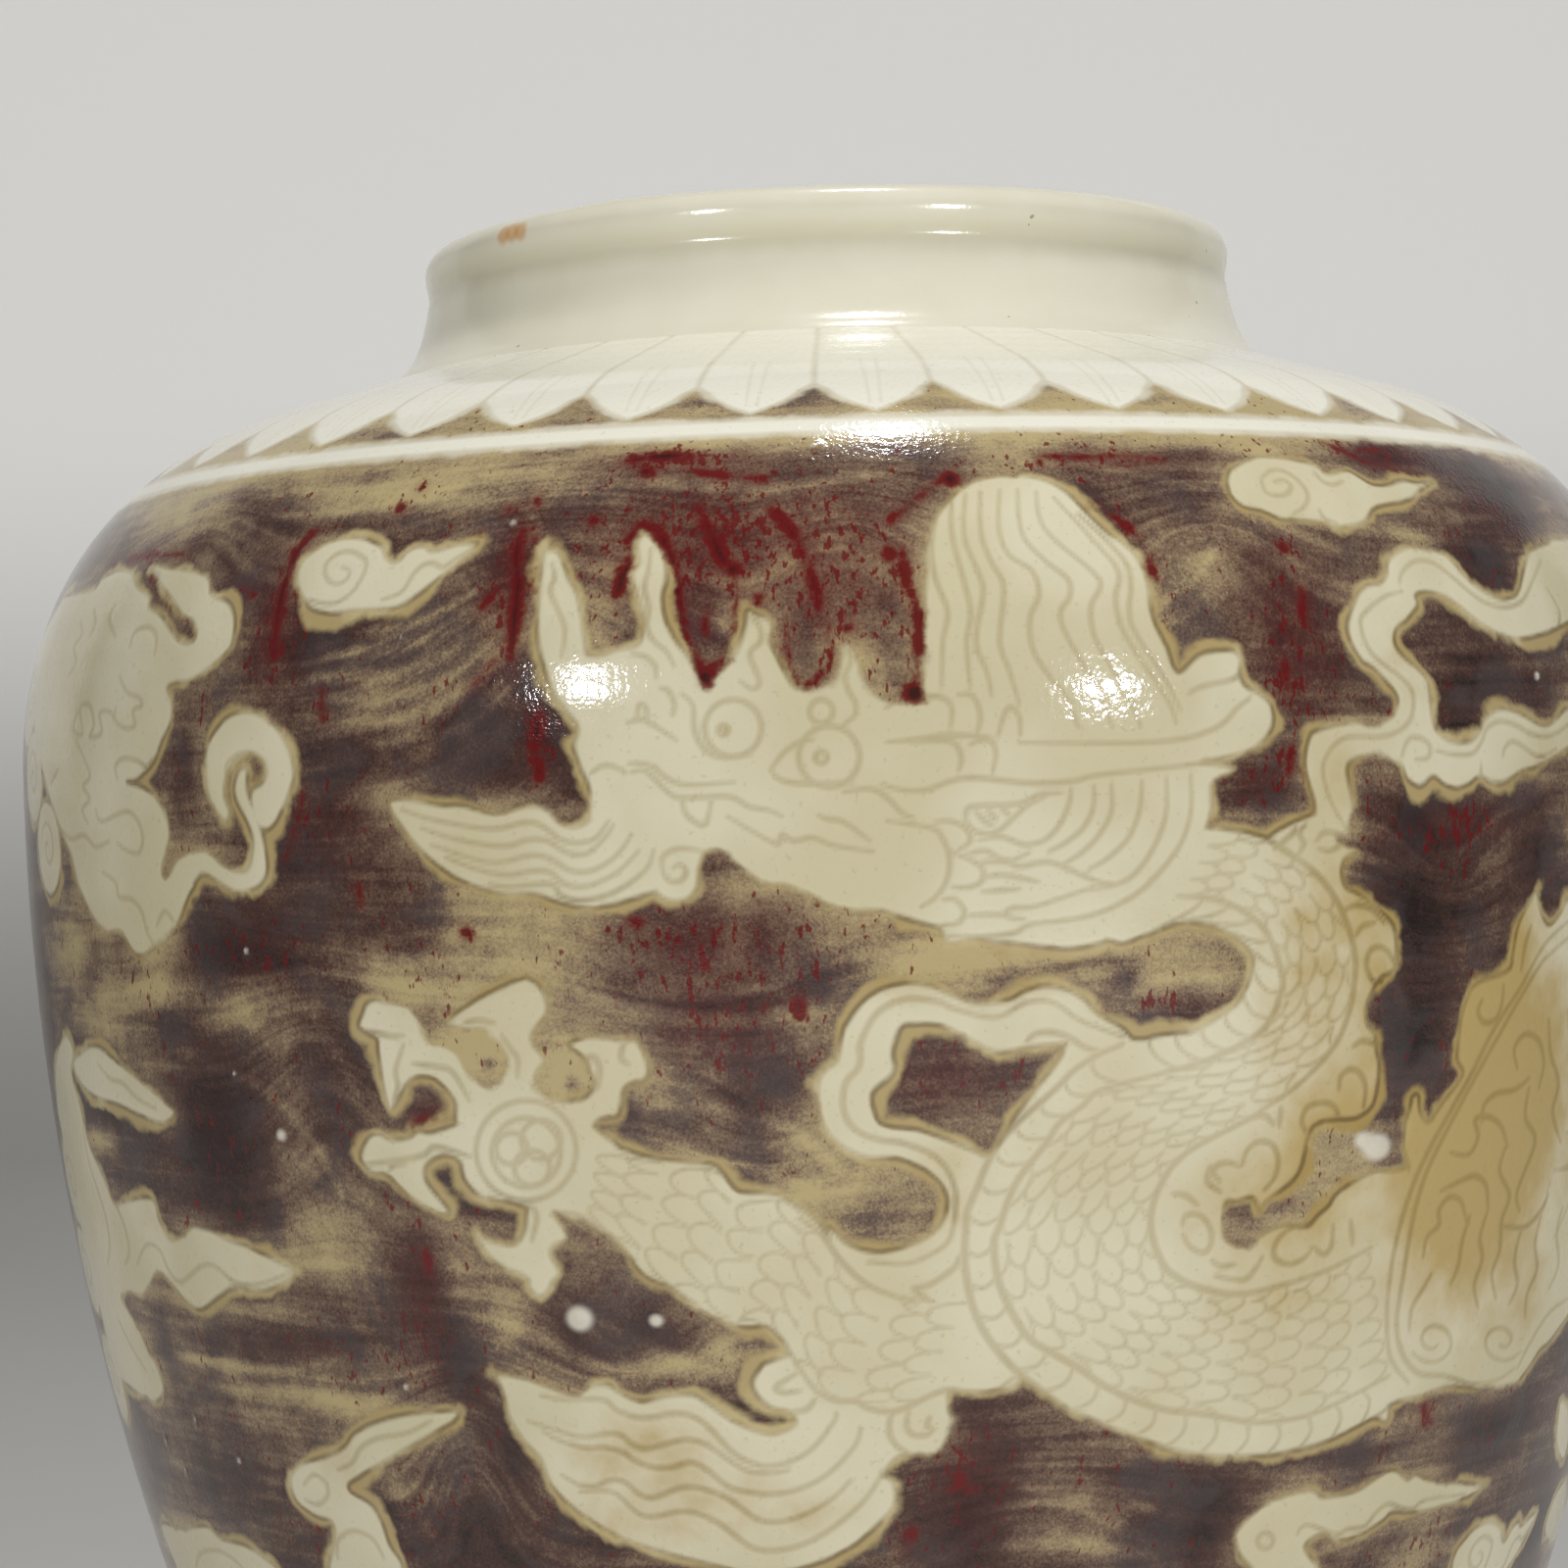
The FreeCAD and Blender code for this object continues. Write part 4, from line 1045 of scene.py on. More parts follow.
# the ground: how dark, how red, brush strokes, runs of red, and tan places in the pale glaze
ground = {
    "tone": 0.45,
    "deeper": 0.2,       # added all over once the touches are set
    "seamHighlight": 0.2,     # how much paler the ground is painted along the belly seam as a painted highlight, and how far in metres
    "seamReach": 0.0022,
    "reach": 0.006,      # how far strokes and runs are felt, in metres
    # place and radii in photograph pixels, then how dark
    "tones": [
        (180, 520, 120, 40, -0.3), (420, 500, 170, 30, -0.35), (560, 485, 80, 30, 0.0),
        (250, 500, 50, 16, 0.35), (255, 545, 50, 35, 0.5), (120, 500, 60, 40, -0.1), (230, 600, 60, 50, 0.55),
        (290, 660, 50, 50, 0.65), (400, 690, 110, 80, 0.1), (505, 660, 40, 60, 0.35),
        (500, 775, 100, 40, 0.65), (560, 745, 40, 60, 0.6), (185, 780, 40, 90, 0.65),
        (350, 840, 80, 70, 0.62), (330, 930, 180, 45, 0.65), (255, 965, 90, 45, 0.85),
        (410, 1005, 90, 25, -0.15), (540, 950, 80, 50, -0.25), (710, 960, 110, 50, 0.65),
        (70, 970, 70, 60, -0.25), (700, 535, 120, 45, 0.55), (612, 620, 30, 50, 0.12),
        (700, 640, 30, 60, 0.65), (742, 620, 22, 40, 0.2), (720, 475, 100, 22, 0.5), (860, 465, 80, 18, 0.3),
        (860, 590, 70, 110, 0.42), (830, 690, 30, 20, 0.6), (1020, 462, 90, 16, 0.1),
        (1150, 480, 90, 20, 0.5), (1150, 540, 60, 50, 0.42), (1225, 590, 50, 60, 0.12),
        (1330, 650, 60, 90, 0.65), (1250, 665, 40, 25, 0.4), (1280, 795, 50, 30, 0.8),
        (1410, 465, 80, 25, 0.8), (1530, 500, 80, 60, 1.0), (1440, 545, 50, 20, 0.1),
        (1510, 580, 60, 40, 0.85), (1510, 690, 90, 50, 0.65), (1520, 625, 50, 14, 0.2),
        (1480, 835, 120, 45, 0.75), (1440, 950, 80, 90, 1.05), (1565, 880, 40, 60, 0.95),
        (1200, 990, 90, 40, -0.4), (1145, 1000, 20, 14, 0.6), (850, 965, 60, 35, 0.4),
        (1000, 975, 130, 26, -0.8), (110, 1030, 70, 40, -0.3), (250, 1035, 70, 30, -0.25),
        (225, 1160, 75, 105, 1.1), (130, 1165, 50, 40, 0.45), (330, 1110, 40, 110, 0.5),
        (330, 1255, 60, 50, 0.0), (430, 1230, 50, 40, 0.55), (430, 1300, 40, 50, 0.8),
        (475, 1400, 40, 60, 0.9), (520, 1345, 40, 50, -0.3), (580, 1345, 50, 40, 0.7),
        (680, 1375, 60, 35, 0.8), (750, 1390, 50, 30, -0.3), (300, 1335, 110, 20, 0.5),
        (280, 1375, 110, 20, 0.72), (300, 1425, 110, 30, 0.0), (220, 1505, 90, 60, 0.65),
        (480, 1560, 110, 60, 0.65), (520, 1470, 30, 70, 0.9), (720, 1050, 90, 60, 0.62),
        (700, 1110, 50, 35, 0.3), (770, 1120, 40, 40, 0.5), (640, 1135, 16, 16, 0.9),
        (835, 1070, 40, 60, 0.35), (870, 1200, 100, 60, -0.15), (905, 1235, 35, 18, 0.25),
        (990, 1095, 90, 45, 0.55), (1215, 1025, 40, 30, 0.4), (1440, 1060, 60, 60, 1.05),
        (1360, 1160, 50, 50, -0.1), (1590, 1200, 25, 30, 0.9), (1000, 1530, 60, 90, 1.0),
        (1085, 1570, 80, 40, 0.2), (1170, 1500, 120, 35, 0.6), (1235, 1560, 50, 60, 0.95),
        (1400, 1510, 60, 25, 0.6), (1530, 1460, 110, 50, 0.95), (1440, 1590, 80, 25, 0.2),
        (1570, 1550, 50, 60, 0.9), (700, 1660, 400, 50, 0.65), (150, 1012, 70, 18, -0.35),
        (100, 1163, 50, 16, -0.2), (325, 1285, 70, 20, -0.35), (240, 1335, 130, 12, -0.1),
        (330, 1430, 90, 14, -0.4), (215, 1390, 80, 10, 0.0), (475, 1300, 26, 50, 0.1),
        (690, 1395, 70, 14, -0.1), (1340, 1195, 60, 40, -0.3), (1265, 1270, 20, 14, 0.5),
        (470, 590, 60, 40, 0.45), (400, 1520, 60, 20, 0.2), (480, 1075, 42, 25, -0.4),
        (578, 1100, 30, 32, -0.4), (499, 1085, 9, 9, 0.5), (584, 1106, 10, 10, 0.4),
    ],
    "reds": [
        (700, 470, 80, 16, 1.2), (700, 560, 140, 80, 1.0), (280, 640, 50, 90, 0.9), (520, 600, 30, 90, 0.9),
        (340, 850, 70, 60, 0.5), (720, 960, 120, 50, 0.7), (260, 970, 80, 40, 0.5), (550, 760, 25, 40, 0.7),
        (860, 580, 80, 100, 0.8), (1150, 470, 100, 20, 0.7), (1320, 650, 70, 110, 0.8),
        (1420, 465, 80, 25, 0.8), (1280, 800, 40, 20, 0.5), (1490, 840, 110, 30, 0.6),
        (1520, 520, 80, 50, 0.4), (225, 1150, 60, 90, 0.5), (430, 1330, 40, 90, 0.7),
        (440, 1140, 35, 25, 0.9), (730, 1050, 80, 50, 0.7), (300, 1375, 90, 20, 0.4),
        (320, 1555, 20, 20, 0.8), (960, 1100, 70, 40, 0.7), (1190, 1020, 40, 25, 0.4),
        (990, 1520, 50, 90, 0.7), (1455, 1440, 25, 20, 0.9), (1560, 1540, 50, 60, 0.4),
    ],
    "tans": [
        (1330, 1000, 60, 160, 0.6), (1390, 900, 50, 60, 0.6), (1500, 1090, 130, 150, 1.3),
        (1500, 1250, 100, 130, 0.6), (1010, 1000, 120, 25, 0.5), (1290, 1240, 90, 60, 0.8),
        (1360, 790, 40, 50, 0.35), (1440, 680, 60, 80, 0.35), (660, 1480, 120, 50, 0.55),
        (760, 1540, 110, 40, 0.45), (640, 1560, 60, 30, 0.45), (920, 1250, 60, 40, 0.3),
        (560, 1560, 40, 40, 0.4), (150, 1240, 40, 60, 0.3), (470, 870, 60, 30, 0.2),
        (1180, 1440, 140, 40, 0.2), (350, 1500, 40, 40, 0.3), (1560, 1330, 50, 60, 0.5),
        (740, 745, 8, 8, 0.4), (832, 773, 8, 8, 0.5), (1400, 1000, 40, 100, 0.5), (1360, 1160, 60, 60, 0.9),
        (1540, 950, 50, 50, 0.6), (1580, 760, 60, 60, 0.3), (960, 1200, 40, 80, 0.25),
        (1545, 1160, 90, 200, 0.5), (1460, 1210, 70, 120, 0.5), (1310, 1330, 120, 60, 0.3),
        (1590, 1120, 260, 140, 0.5),
    ],
    "sweeps": [
        (560, 640, 150, 140, 0.024), (200, 560, 120, 80, 0.012), (720, 1010, 140, 60, -0.010),
        (330, 1120, 90, 120, 0.015), (1240, 560, 100, 80, 0.015), (1480, 880, 90, 80, -0.012),
        (640, 1380, 90, 60, -0.012), (1050, 1540, 150, 60, 0.012), (480, 1500, 60, 100, 0.020),
        (780, 1150, 90, 60, -0.012), (200, 950, 120, 50, 0.008), (860, 560, 90, 90, 0.014),
    ],
    "blobs": [
        (288, 1158, 9, 8, 0.7), (592, 1345, 15, 14, 1.0), (670, 1347, 9, 8, 0.8), (1404, 1170, 20, 15, 1.0),
        (1388, 1162, 12, 10, 0.6), (252, 970, 5, 5, 0.6), (240, 1095, 4, 4, 0.6), (1567, 690, 6, 6, 0.7),
        (245, 1490, 5, 5, 0.6), (415, 1415, 5, 5, 0.6), (170, 1470, 4, 7, 0.5), (190, 1500, 4, 6, 0.5),
        (200, 1448, 4, 6, 0.5), (524, 534, 6, 6, 0.5), (410, 650, 3, 4, 0.5), (830, 455, 7, 5, 0.5),
    ],
    # pale strokes of the brush, then runs of red, each with its half width in pixels
    "strokes": [
        (6, [(335, 642), (400, 640), (450, 624), (500, 594)]),
        (7, [(330, 668), (400, 662), (460, 642), (512, 606)]),
        (8, [(320, 692), (380, 690), (440, 674), (502, 632)]),
        (6, [(340, 716), (400, 712), (460, 690), (506, 656)]),
        (6, [(350, 738), (420, 732), (470, 706), (512, 676)]),
        (5, [(370, 758), (420, 756), (480, 738), (520, 702)]),
        (7, [(300, 500), (380, 498), (470, 484), (560, 482)]),
        (5, [(250, 530), (330, 524), (420, 512), (500, 506)]),
        (6, [(640, 492), (720, 498), (820, 494), (930, 478)]),
        (5, [(1040, 470), (1120, 476), (1190, 490), (1230, 500)]),
        (6, [(560, 1000), (640, 1030), (740, 1040), (830, 1030)]),
        (6, [(600, 950), (700, 1000), (800, 1010)]),
        (7, [(640, 1130), (720, 1128), (800, 1150), (860, 1195)]),
        (6, [(680, 1180), (760, 1190), (830, 1215)]),
        (6, [(190, 1080), (250, 1100), (310, 1150), (350, 1220)]),
        (6, [(180, 1380), (260, 1400), (340, 1390)]), (7, [(1420, 1000), (1440, 1040), (1470, 1060)]),
        (6, [(960, 1480), (1060, 1520), (1180, 1540)]), (8, [(1000, 1580), (1090, 1575), (1180, 1590)]),
        (6, [(1440, 1480), (1520, 1476), (1580, 1460)]), (5, [(1180, 620), (1220, 590), (1240, 560)]),
        (6, [(1480, 530), (1540, 525), (1580, 520)]), (6, [(580, 1330), (650, 1370), (730, 1400)]),
        (5, [(500, 1460), (520, 1510), (545, 1550)]),
    ],
    "runs": [
        (6, [(322, 543), (304, 562), (292, 590), (284, 625), (279, 664)]), (4, [(640, 938), (652, 941)]),
        (7, [(533, 541), (526, 569), (529, 597), (524, 641), (520, 674)]),
        (2, [(546, 552), (549, 574), (545, 602)]), (6, [(547, 728), (548, 745), (546, 762)]),
        (4, [(549, 775), (550, 792)]), (8, [(645, 572), (636, 588), (630, 606)]),
        (5, [(641, 552), (652, 537), (669, 541), (682, 562), (690, 592), (699, 647), (710, 674), (719, 691)]),
        (6, [(711, 516), (722, 536), (730, 555), (738, 572), (747, 580)]),
        (4, [(722, 625), (719, 640), (722, 650)]), (2, [(749, 583), (752, 624), (747, 663), (726, 682)]),
        (5, [(788, 522), (816, 555), (832, 600), (836, 624)]),
        (2, [(844, 636), (849, 669), (836, 691), (819, 702)]), (2, [(802, 636), (805, 669), (813, 697)]),
        (5, [(922, 558), (924, 597), (933, 613), (938, 652), (936, 680), (933, 706)]),
        (4, [(815, 1020), (816, 1034)]), (3, [(969, 488), (947, 499), (924, 519), (908, 530)]),
        (4, [(508, 602), (491, 619)]), (3, [(505, 674), (480, 702)]),
        (5, [(152, 570), (162, 595), (176, 620)]), (3, [(110, 577), (150, 567), (195, 566)]),
        (3, [(328, 705), (330, 735)]), (2, [(310, 810), (300, 850), (290, 880)]),
        (3, [(1328, 602), (1330, 632)]), (3, [(1318, 765), (1314, 792)]),
        (4, [(1345, 448), (1380, 465), (1420, 480), (1450, 488)]),
        (3, [(1060, 466), (1120, 466), (1180, 468)]), (3, [(1135, 526), (1160, 545)]),
        (3, [(1172, 565), (1180, 592)]), (5, [(422, 1148), (440, 1146), (462, 1140)]),
        (3, [(435, 1280), (438, 1302)]), (5, [(1452, 1435), (1460, 1450)]), (4, [(930, 1562), (925, 1580)]),
        (3, [(978, 1503), (980, 1516)]), (3, [(366, 904), (368, 920)]),
        (7, [(640, 470), (670, 466), (706, 464)]), (3, [(705, 480), (740, 486), (780, 488)]),
        (3, [(240, 600), (258, 606)]), (3, [(1310, 676), (1313, 702)]),
    ],
    "beads": [
        (719, 691, 9), (933, 706, 11), (969, 488, 8), (658, 481, 8), (747, 580, 8), (908, 563, 5),
        (863, 641, 7), (772, 613, 5), (519, 519, 5), (547, 510, 5), (488, 547, 4), (410, 517, 6),
        (430, 497, 4), (1113, 516, 5), (1060, 470, 3), (279, 664, 6), (605, 530, 4), (1307, 556, 5),
        (476, 952, 5),
    ],
}

wall["tone"] += ground["tone"]
# painted highlight: the ground made paler along the belly seam
aboveSeam = (rowLength - lengthAt(jar["seamHigh"])) / ground["seamReach"]
wall["tone"] -= ground["seamHighlight"] * np.exp(-aboveSeam**2)[:, None]
touchLists = {"tone": "tones", "red": "reds", "warm": "tans", "blob": "blobs", "sweep": "sweeps"}
for key, touches in touchLists.items():
    for touch in ground[touches]:
        dab(key, *touch, settle=int(key == "tone"))
wall["tone"] += ground["deeper"]
beads = [(radius, [(x, y), (x + 1, y + 2)]) for x, y, radius in ground["beads"]]  # short runs
for key, lines in (("stroke", ground["strokes"]), ("drip", ground["runs"] + beads)):
    for half, points in lines:
        drawCut(points, half / photoCamera["pixelsPerMetre"], key, ground["reach"])
print("ground drawn")

# how far the glaze surface stands off the turned section, in metres
relief = {
    "raise": 0.00012,       # pale figures over the ground, and the slope up to them
    "raiseFrom": -0.0026,
    "raiseTo": 0.0012,
    "outlineHalf": 0.0004,  # half width of the groove round the figures
    "cutDepth": 0.00004,
    "cutFrom": -0.0002,
    "cutTo": 0.00110,
    "blob": 0.0009,         # lumps of thick glaze
    "seamRidge": 0.00005,
    "seamWidth": 0.0022,
    "throwing": 0.00002,    # turning ridges
    "throwingPitch": 0.0085,
    "edgeFade": 0.0035,     # nothing stands off where the wall meets neck and foot
}


def smoothStep(low, high, value):
    t = np.clip((value - low) / (high - low), 0, 1)
    return t * t * (3 - 2 * t)


# outline grooves round the pale figures join the other cut lines
wall["cut"] = np.minimum(wall["cut"], np.abs(wall["reserve"]) - relief["outlineHalf"])


def surfaceRelief():
    raised = relief["raise"] * smoothStep(relief["raiseFrom"], relief["raiseTo"], wall["reserve"])
    cut = -relief["cutDepth"] * (1 - smoothStep(relief["cutFrom"], relief["cutTo"], wall["cut"]))
    middle = (lengthAt(jar["seamLow"]) + lengthAt(jar["seamHigh"])) / 2
    seam = relief["seamRidge"] * np.exp(-((rowLength - middle) / relief["seamWidth"]) ** 2)
    rings = relief["throwing"] * np.sin(2 * math.pi * rowLength / relief["throwingPitch"])
    fade = smoothStep(0, relief["edgeFade"], np.minimum(rowLength, sectionS[-1] - rowLength))
    lumps = relief["blob"] * wall["blob"]
    return (raised + cut + lumps + (seam + rings)[:, None]) * fade[:, None]


# outer points: the section, moved along its normal by the relief and turned by the column's angle
def wallPoints():
    slopeR, slopeZ = np.gradient(rowRadius, rowLength), np.gradient(rowHeight, rowLength)
    steep = np.hypot(slopeR, slopeZ)
    lift = surfaceRelief()
    radius = rowRadius[:, None] + lift * (slopeZ / steep)[:, None]
    height = rowHeight[:, None] - lift * (slopeR / steep)[:, None]
    return np.stack([radius * np.sin(columnAngle), -radius * np.cos(columnAngle), height], 2)


wallPlaces = wallPoints()


# inner outlines that close each wall piece, from its upper edge to its lower one: rows of radius and height
def taperInside(height):
    inner = jar["lowerArc"] - jar["wall"]
    return jar["bellyRadius"] - jar["lowerArc"] + math.sqrt(inner**2 - (jar["bellyHeight"] - height) ** 2)


def upperInside():
    bellyCentre, shoulderCentre, breakAngle = upperArcs()
    flatAngle = 90 - jar["shoulderSlope"]
    shoulder = arc(shoulderCentre, jar["shoulderArc"] - jar["wall"], flatAngle, breakAngle, 10)
    belly = arc(bellyCentre, jar["bellyArc"] - jar["wall"], breakAngle, 0, 5)
    rise = math.tan(math.radians(jar["shoulderSlope"]))
    throatLow = shoulder[0, 1] + (shoulder[0, 0] - jar["throat"]) * rise
    heights = np.linspace(jar["bellyHeight"], jar["seamHigh"] + jar["seamBevel"], 4)[1:]
    taper = [(taperInside(z), z) for z in heights]
    throat = [(jar["throat"], jar["landHeight"]), (jar["throat"], throatLow)]
    return np.array([*throat, *shoulder, *belly[1:], *taper])


def lowerInside():
    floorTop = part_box("base_disc")[1][2]
    seat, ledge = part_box("base_luting_slip")[1][0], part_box("base_luting_slip")[0][2]
    footInside = seat - jar["footLedge"]
    heights = np.linspace(jar["seamLow"] + jar["seamBevel"], floorTop, wallGrid["innerRows"])
    taper = [(taperInside(z), z) for z in heights]
    foot = [(seat, floorTop), (seat, ledge), (footInside, ledge), (footInside, jar["footBevel"])]
    return np.array([*taper, *foot, (footInside + jar["footBevel"], 0.0)])


def slipInside():
    low, high = jar["seamLow"] + jar["seamBevel"], jar["seamHigh"] + jar["seamBevel"]
    reach, rise = 0.0025, 0.0014  # how far the squeezed-out bead spreads and stands
    bead = np.linspace(high + reach, low - reach, 7)
    swell = rise * np.sin(np.linspace(0, math.pi, 7))
    return np.array([(taperInside(z) - s, z) for z, s in zip(bead, swell)])


def newMesh(name, points, corners, sizes):
    mesh = bpy.data.meshes.new(name)
    mesh.vertices.add(len(points))
    mesh.vertices.foreach_set("co", points.astype(np.float32).ravel())
    mesh.loops.add(len(corners))
    mesh.loops.foreach_set("vertex_index", corners.astype(np.int32))
    mesh.polygons.add(len(sizes))
    mesh.polygons.foreach_set("loop_start", np.concatenate([[0], np.cumsum(sizes)[:-1]]).astype(np.int32))
    mesh.update(calc_edges=True)
    mesh.validate()
    return mesh


# quads between neighbours of a section carried over columns, wound outwards; either way may close on itself
def carriedQuads(sectionCount, columnCount, closedRound, closedSection=True):
    k = np.arange(sectionCount if closedSection else sectionCount - 1)[:, None]
    j = np.arange(columnCount if closedRound else columnCount - 1)[None, :]
    up, right = (k + 1) % sectionCount, (j + 1) % columnCount
    quads = np.stack(np.broadcast_arrays(
        k * columnCount + j, k * columnCount + right, up * columnCount + right, up * columnCount + j), 2)
    return quads.reshape(-1, 4)


def quadMesh(name, points, closed):
    quads = carriedQuads(*points.shape[:2], closed, closed)
    return newMesh(name, points.reshape(-1, 3), quads.ravel(), np.full(len(quads), 4))


def finishPiece(mesh, name, nodes, materials, sharp=25.0):
    piece = addObject(name, mesh)
    mesh.shade_smooth()
    mesh.set_sharp_from_angle(angle=math.radians(sharp))
    for material in materials:
        mesh.materials.append(material)
    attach(piece, "root")
    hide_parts(*nodes)
    return piece


# fields that are shares; the others are lengths, shown to the material in millimetres
shareFields = ("tone", "warm", "red", "blob", "sweep")
bakeStrip = 0.06  # how much of the bake map is kept for what is inside


# one closed piece of wall: its outer grid, then the inner outline on the same columns, then its ends
def wallPiece(name, node, rows, columns, inside, materials, closedRound=False):
    outer = wallPlaces[rows, columns]
    angle = columnAngle[columns]
    if closedRound:
        outer, angle = outer[:, :-1], angle[:-1]
    across, height = inside[:, :1], np.repeat(inside[:, 1:], len(angle), 1)
    inner = np.stack([across * np.sin(angle), -across * np.cos(angle), height], 2)
    points = np.concatenate([outer, inner])
    sectionCount, columnCount = points.shape[:2]
    quads = carriedQuads(sectionCount, columnCount, closedRound)
    corners, sizes = quads.ravel(), np.full(len(quads), 4)
    if not closedRound:
        first = np.arange(sectionCount) * columnCount
        corners = np.concatenate([corners, first, (first + columnCount - 1)[::-1]])
        sizes = np.concatenate([sizes, [sectionCount, sectionCount]])
    mesh = newMesh(name, points.reshape(-1, 3), corners, sizes)
    outerCount = len(outer)
    faceColumns = columnCount if closedRound else columnCount - 1
    wears = np.ones(len(sizes), np.int32)
    wears[:(outerCount - 1) * faceColumns] = 0
    mesh.polygons.foreach_set("material_index", wears)
    for key, field in wall.items():
        flat = np.full((sectionCount, columnCount), 10.0)
        flat[:outerCount] = field[rows, columns][:, :columnCount] * (1.0 if key in shareFields else 1000.0)
        attribute = mesh.attributes.new(key, "FLOAT", "POINT")
        attribute.data.foreach_set("value", flat.ravel().astype(np.float32))
    # bake map: the outer grid fills the square above the strip
    outerRows = np.linspace(bakeStrip, 1, outerCount)
    innerRows = np.linspace(0, bakeStrip - 0.01, len(inside) + 2)
    low = np.concatenate([outerRows[:-1], innerRows[:-1]])
    high = np.concatenate([outerRows[1:], innerRows[1:]])
    u = np.linspace(0, 1, faceColumns + 1)
    corner = np.empty((sectionCount, faceColumns, 4, 2))
    corner[..., 0, 0], corner[..., 3, 0] = u[:-1], u[:-1]
    corner[..., 1, 0], corner[..., 2, 0] = u[1:], u[1:]
    corner[..., :2, 1], corner[..., 2:, 1] = low[:, None, None], high[:, None, None]
    flatMap = corner.reshape(-1, 2)
    if not closedRound:
        endHigh = np.where(np.arange(sectionCount) < outerCount, 0.999, 0.995) * bakeStrip
        end = np.stack([np.linspace(0, 1, sectionCount), endHigh], 1)
        flatMap = np.concatenate([flatMap, end, end[::-1]])
    layer = mesh.uv_layers.new(name="OFBake")
    layer.uv.foreach_set("vector", flatMap.astype(np.float32).ravel())
    return finishPiece(mesh, name, [node], materials)


# a number on its way through a material's nodes; sums and products add Math nodes
class Flow:
    def __init__(self, finish, socket):
        self.finish, self.socket = finish, socket

    def math(self, operation, first, second):
        return self.finish.add("Math", {"operation": operation}, {0: first, 1: second})

    def __add__(self, other):
        return self.math("ADD", self, other)

    def __radd__(self, other):
        return self.math("ADD", other, self)

    def __sub__(self, other):
        return self.math("SUBTRACT", self, other)

    def __rsub__(self, other):
        return self.math("SUBTRACT", other, self)

    def __mul__(self, other):
        return self.math("MULTIPLY", self, other)

    def __rmul__(self, other):
        return self.math("MULTIPLY", other, self)

    def __abs__(self):
        return self.math("ABSOLUTE", self, 0.0)

    # 0 below low, 1 above high, and a smooth rise between
    def rise(self, low, high):
        return self.finish.add("MapRange", {"interpolation_type": "SMOOTHSTEP"}, {0: self, 1: low, 2: high})

    def fall(self, low, high):
        return 1 - self.rise(low, high)


# one material: its node tree, and one method that adds any node
class Finish:
    def __init__(self, name):
        self.material = bpy.data.materials.new(name)
        self.material.use_nodes = True
        self.tree = self.material.node_tree
        self.tree.nodes.clear()

    def add(self, kind, settings=None, sockets=None, take=0):
        node = self.tree.nodes.new("ShaderNode" + kind)
        for key, value in (settings or {}).items():
            setattr(node, key, value)
        for key, value in (sockets or {}).items():
            if isinstance(value, Flow):
                self.tree.links.new(value.socket, node.inputs[key])
            else:
                node.inputs[key].default_value = value
        return Flow(self, node.outputs[take]) if len(node.outputs) else node

    def place(self):
        return self.add("TexCoord", take=3)

    def height(self):
        return self.add("SeparateXYZ", None, {0: self.place()}, take=2)

    def field(self, name):
        return self.add("Attribute", {"attribute_name": name}, take=2)

    def mix(self, factor, first, second):
        return self.add("Mix", {"data_type": "RGBA"}, {0: factor, 6: first, 7: second}, take=2)

    # cloud of values about 0.5; scale is how many lumps there are in a metre, stretch turns them into
    # streaks, and lift moves them by a varying height
    def cloud(self, scale, detail=2.0, stretch=None, rough=0.5, warp=0.0, lift=None):
        where = self.place()
        if lift:
            down = self.add("CombineXYZ", None, {2: lift})
            where = self.add("VectorMath", {"operation": "SUBTRACT"}, {0: where, 1: down})
        if stretch:
            where = self.add("Mapping", None, {"Vector": where, "Scale": stretch})
        sockets = {"Vector": where, "Scale": scale, "Detail": detail, "Roughness": rough, "Distortion": warp}
        return self.add("TexNoise", None, sockets)

    def coat(self, colour, roughness, height=None, lift=0.0, strength=1.0, **fixed):
        sockets = {"Base Color": colour, "Roughness": roughness, **fixed}
        if height is not None:
            bump = {"Strength": strength, "Distance": lift, "Height": height}
            sockets["Normal"] = self.add("Bump", None, bump)
        shader = self.add("BsdfPrincipled", None, sockets)
        self.add("OutputMaterial", None, {"Surface": shader})
        return self.material


# a colour as a picture program shows it, 0 to 255, made linear
def tint(red, green, blue):
    share = np.array([red, green, blue]) / 255
    linear = np.where(share < 0.04045, share / 12.92, ((share + 0.055) / 1.055) ** 2.4)
    return (*(float(v) for v in linear), 1.0)


# heights on the wall in metres: where the leaf band turns whiter, which is painted light falling on the top,
# and where the glaze gives way to the bare foot
glazeLevels = {"litLeafBand": (0.3755, 0.3785), "bareFoot": (0.004, 0.0055)}

# colours of the painted wall
wallColours = {
    "cream": tint(208, 199, 165),
    "creamPale": tint(221, 214, 186),
    "leaf": tint(238, 235, 218),
    # painted light: the leaf band's cream made whiter, as where more light falls on the top
    "tan": tint(186, 162, 104),
    "olive": tint(148, 126, 66),
    "deepOlive": tint(112, 90, 46),
    "halo": tint(194, 174, 118),
    # painted shade of the carved edge, mixed into the tan band along the figures' edge
    "rim": tint(166, 140, 78),
    "buff": tint(186, 168, 122),
    "grey": tint(136, 115, 92),
    "slate": tint(84, 78, 78),
    "plum": tint(80, 55, 48),
    "dark": tint(30, 20, 18),
    "red": tint(100, 8, 9),
    "deepRed": tint(50, 6, 8),
    "lump": tint(226, 220, 204),
    "paste": tint(196, 160, 118),
}


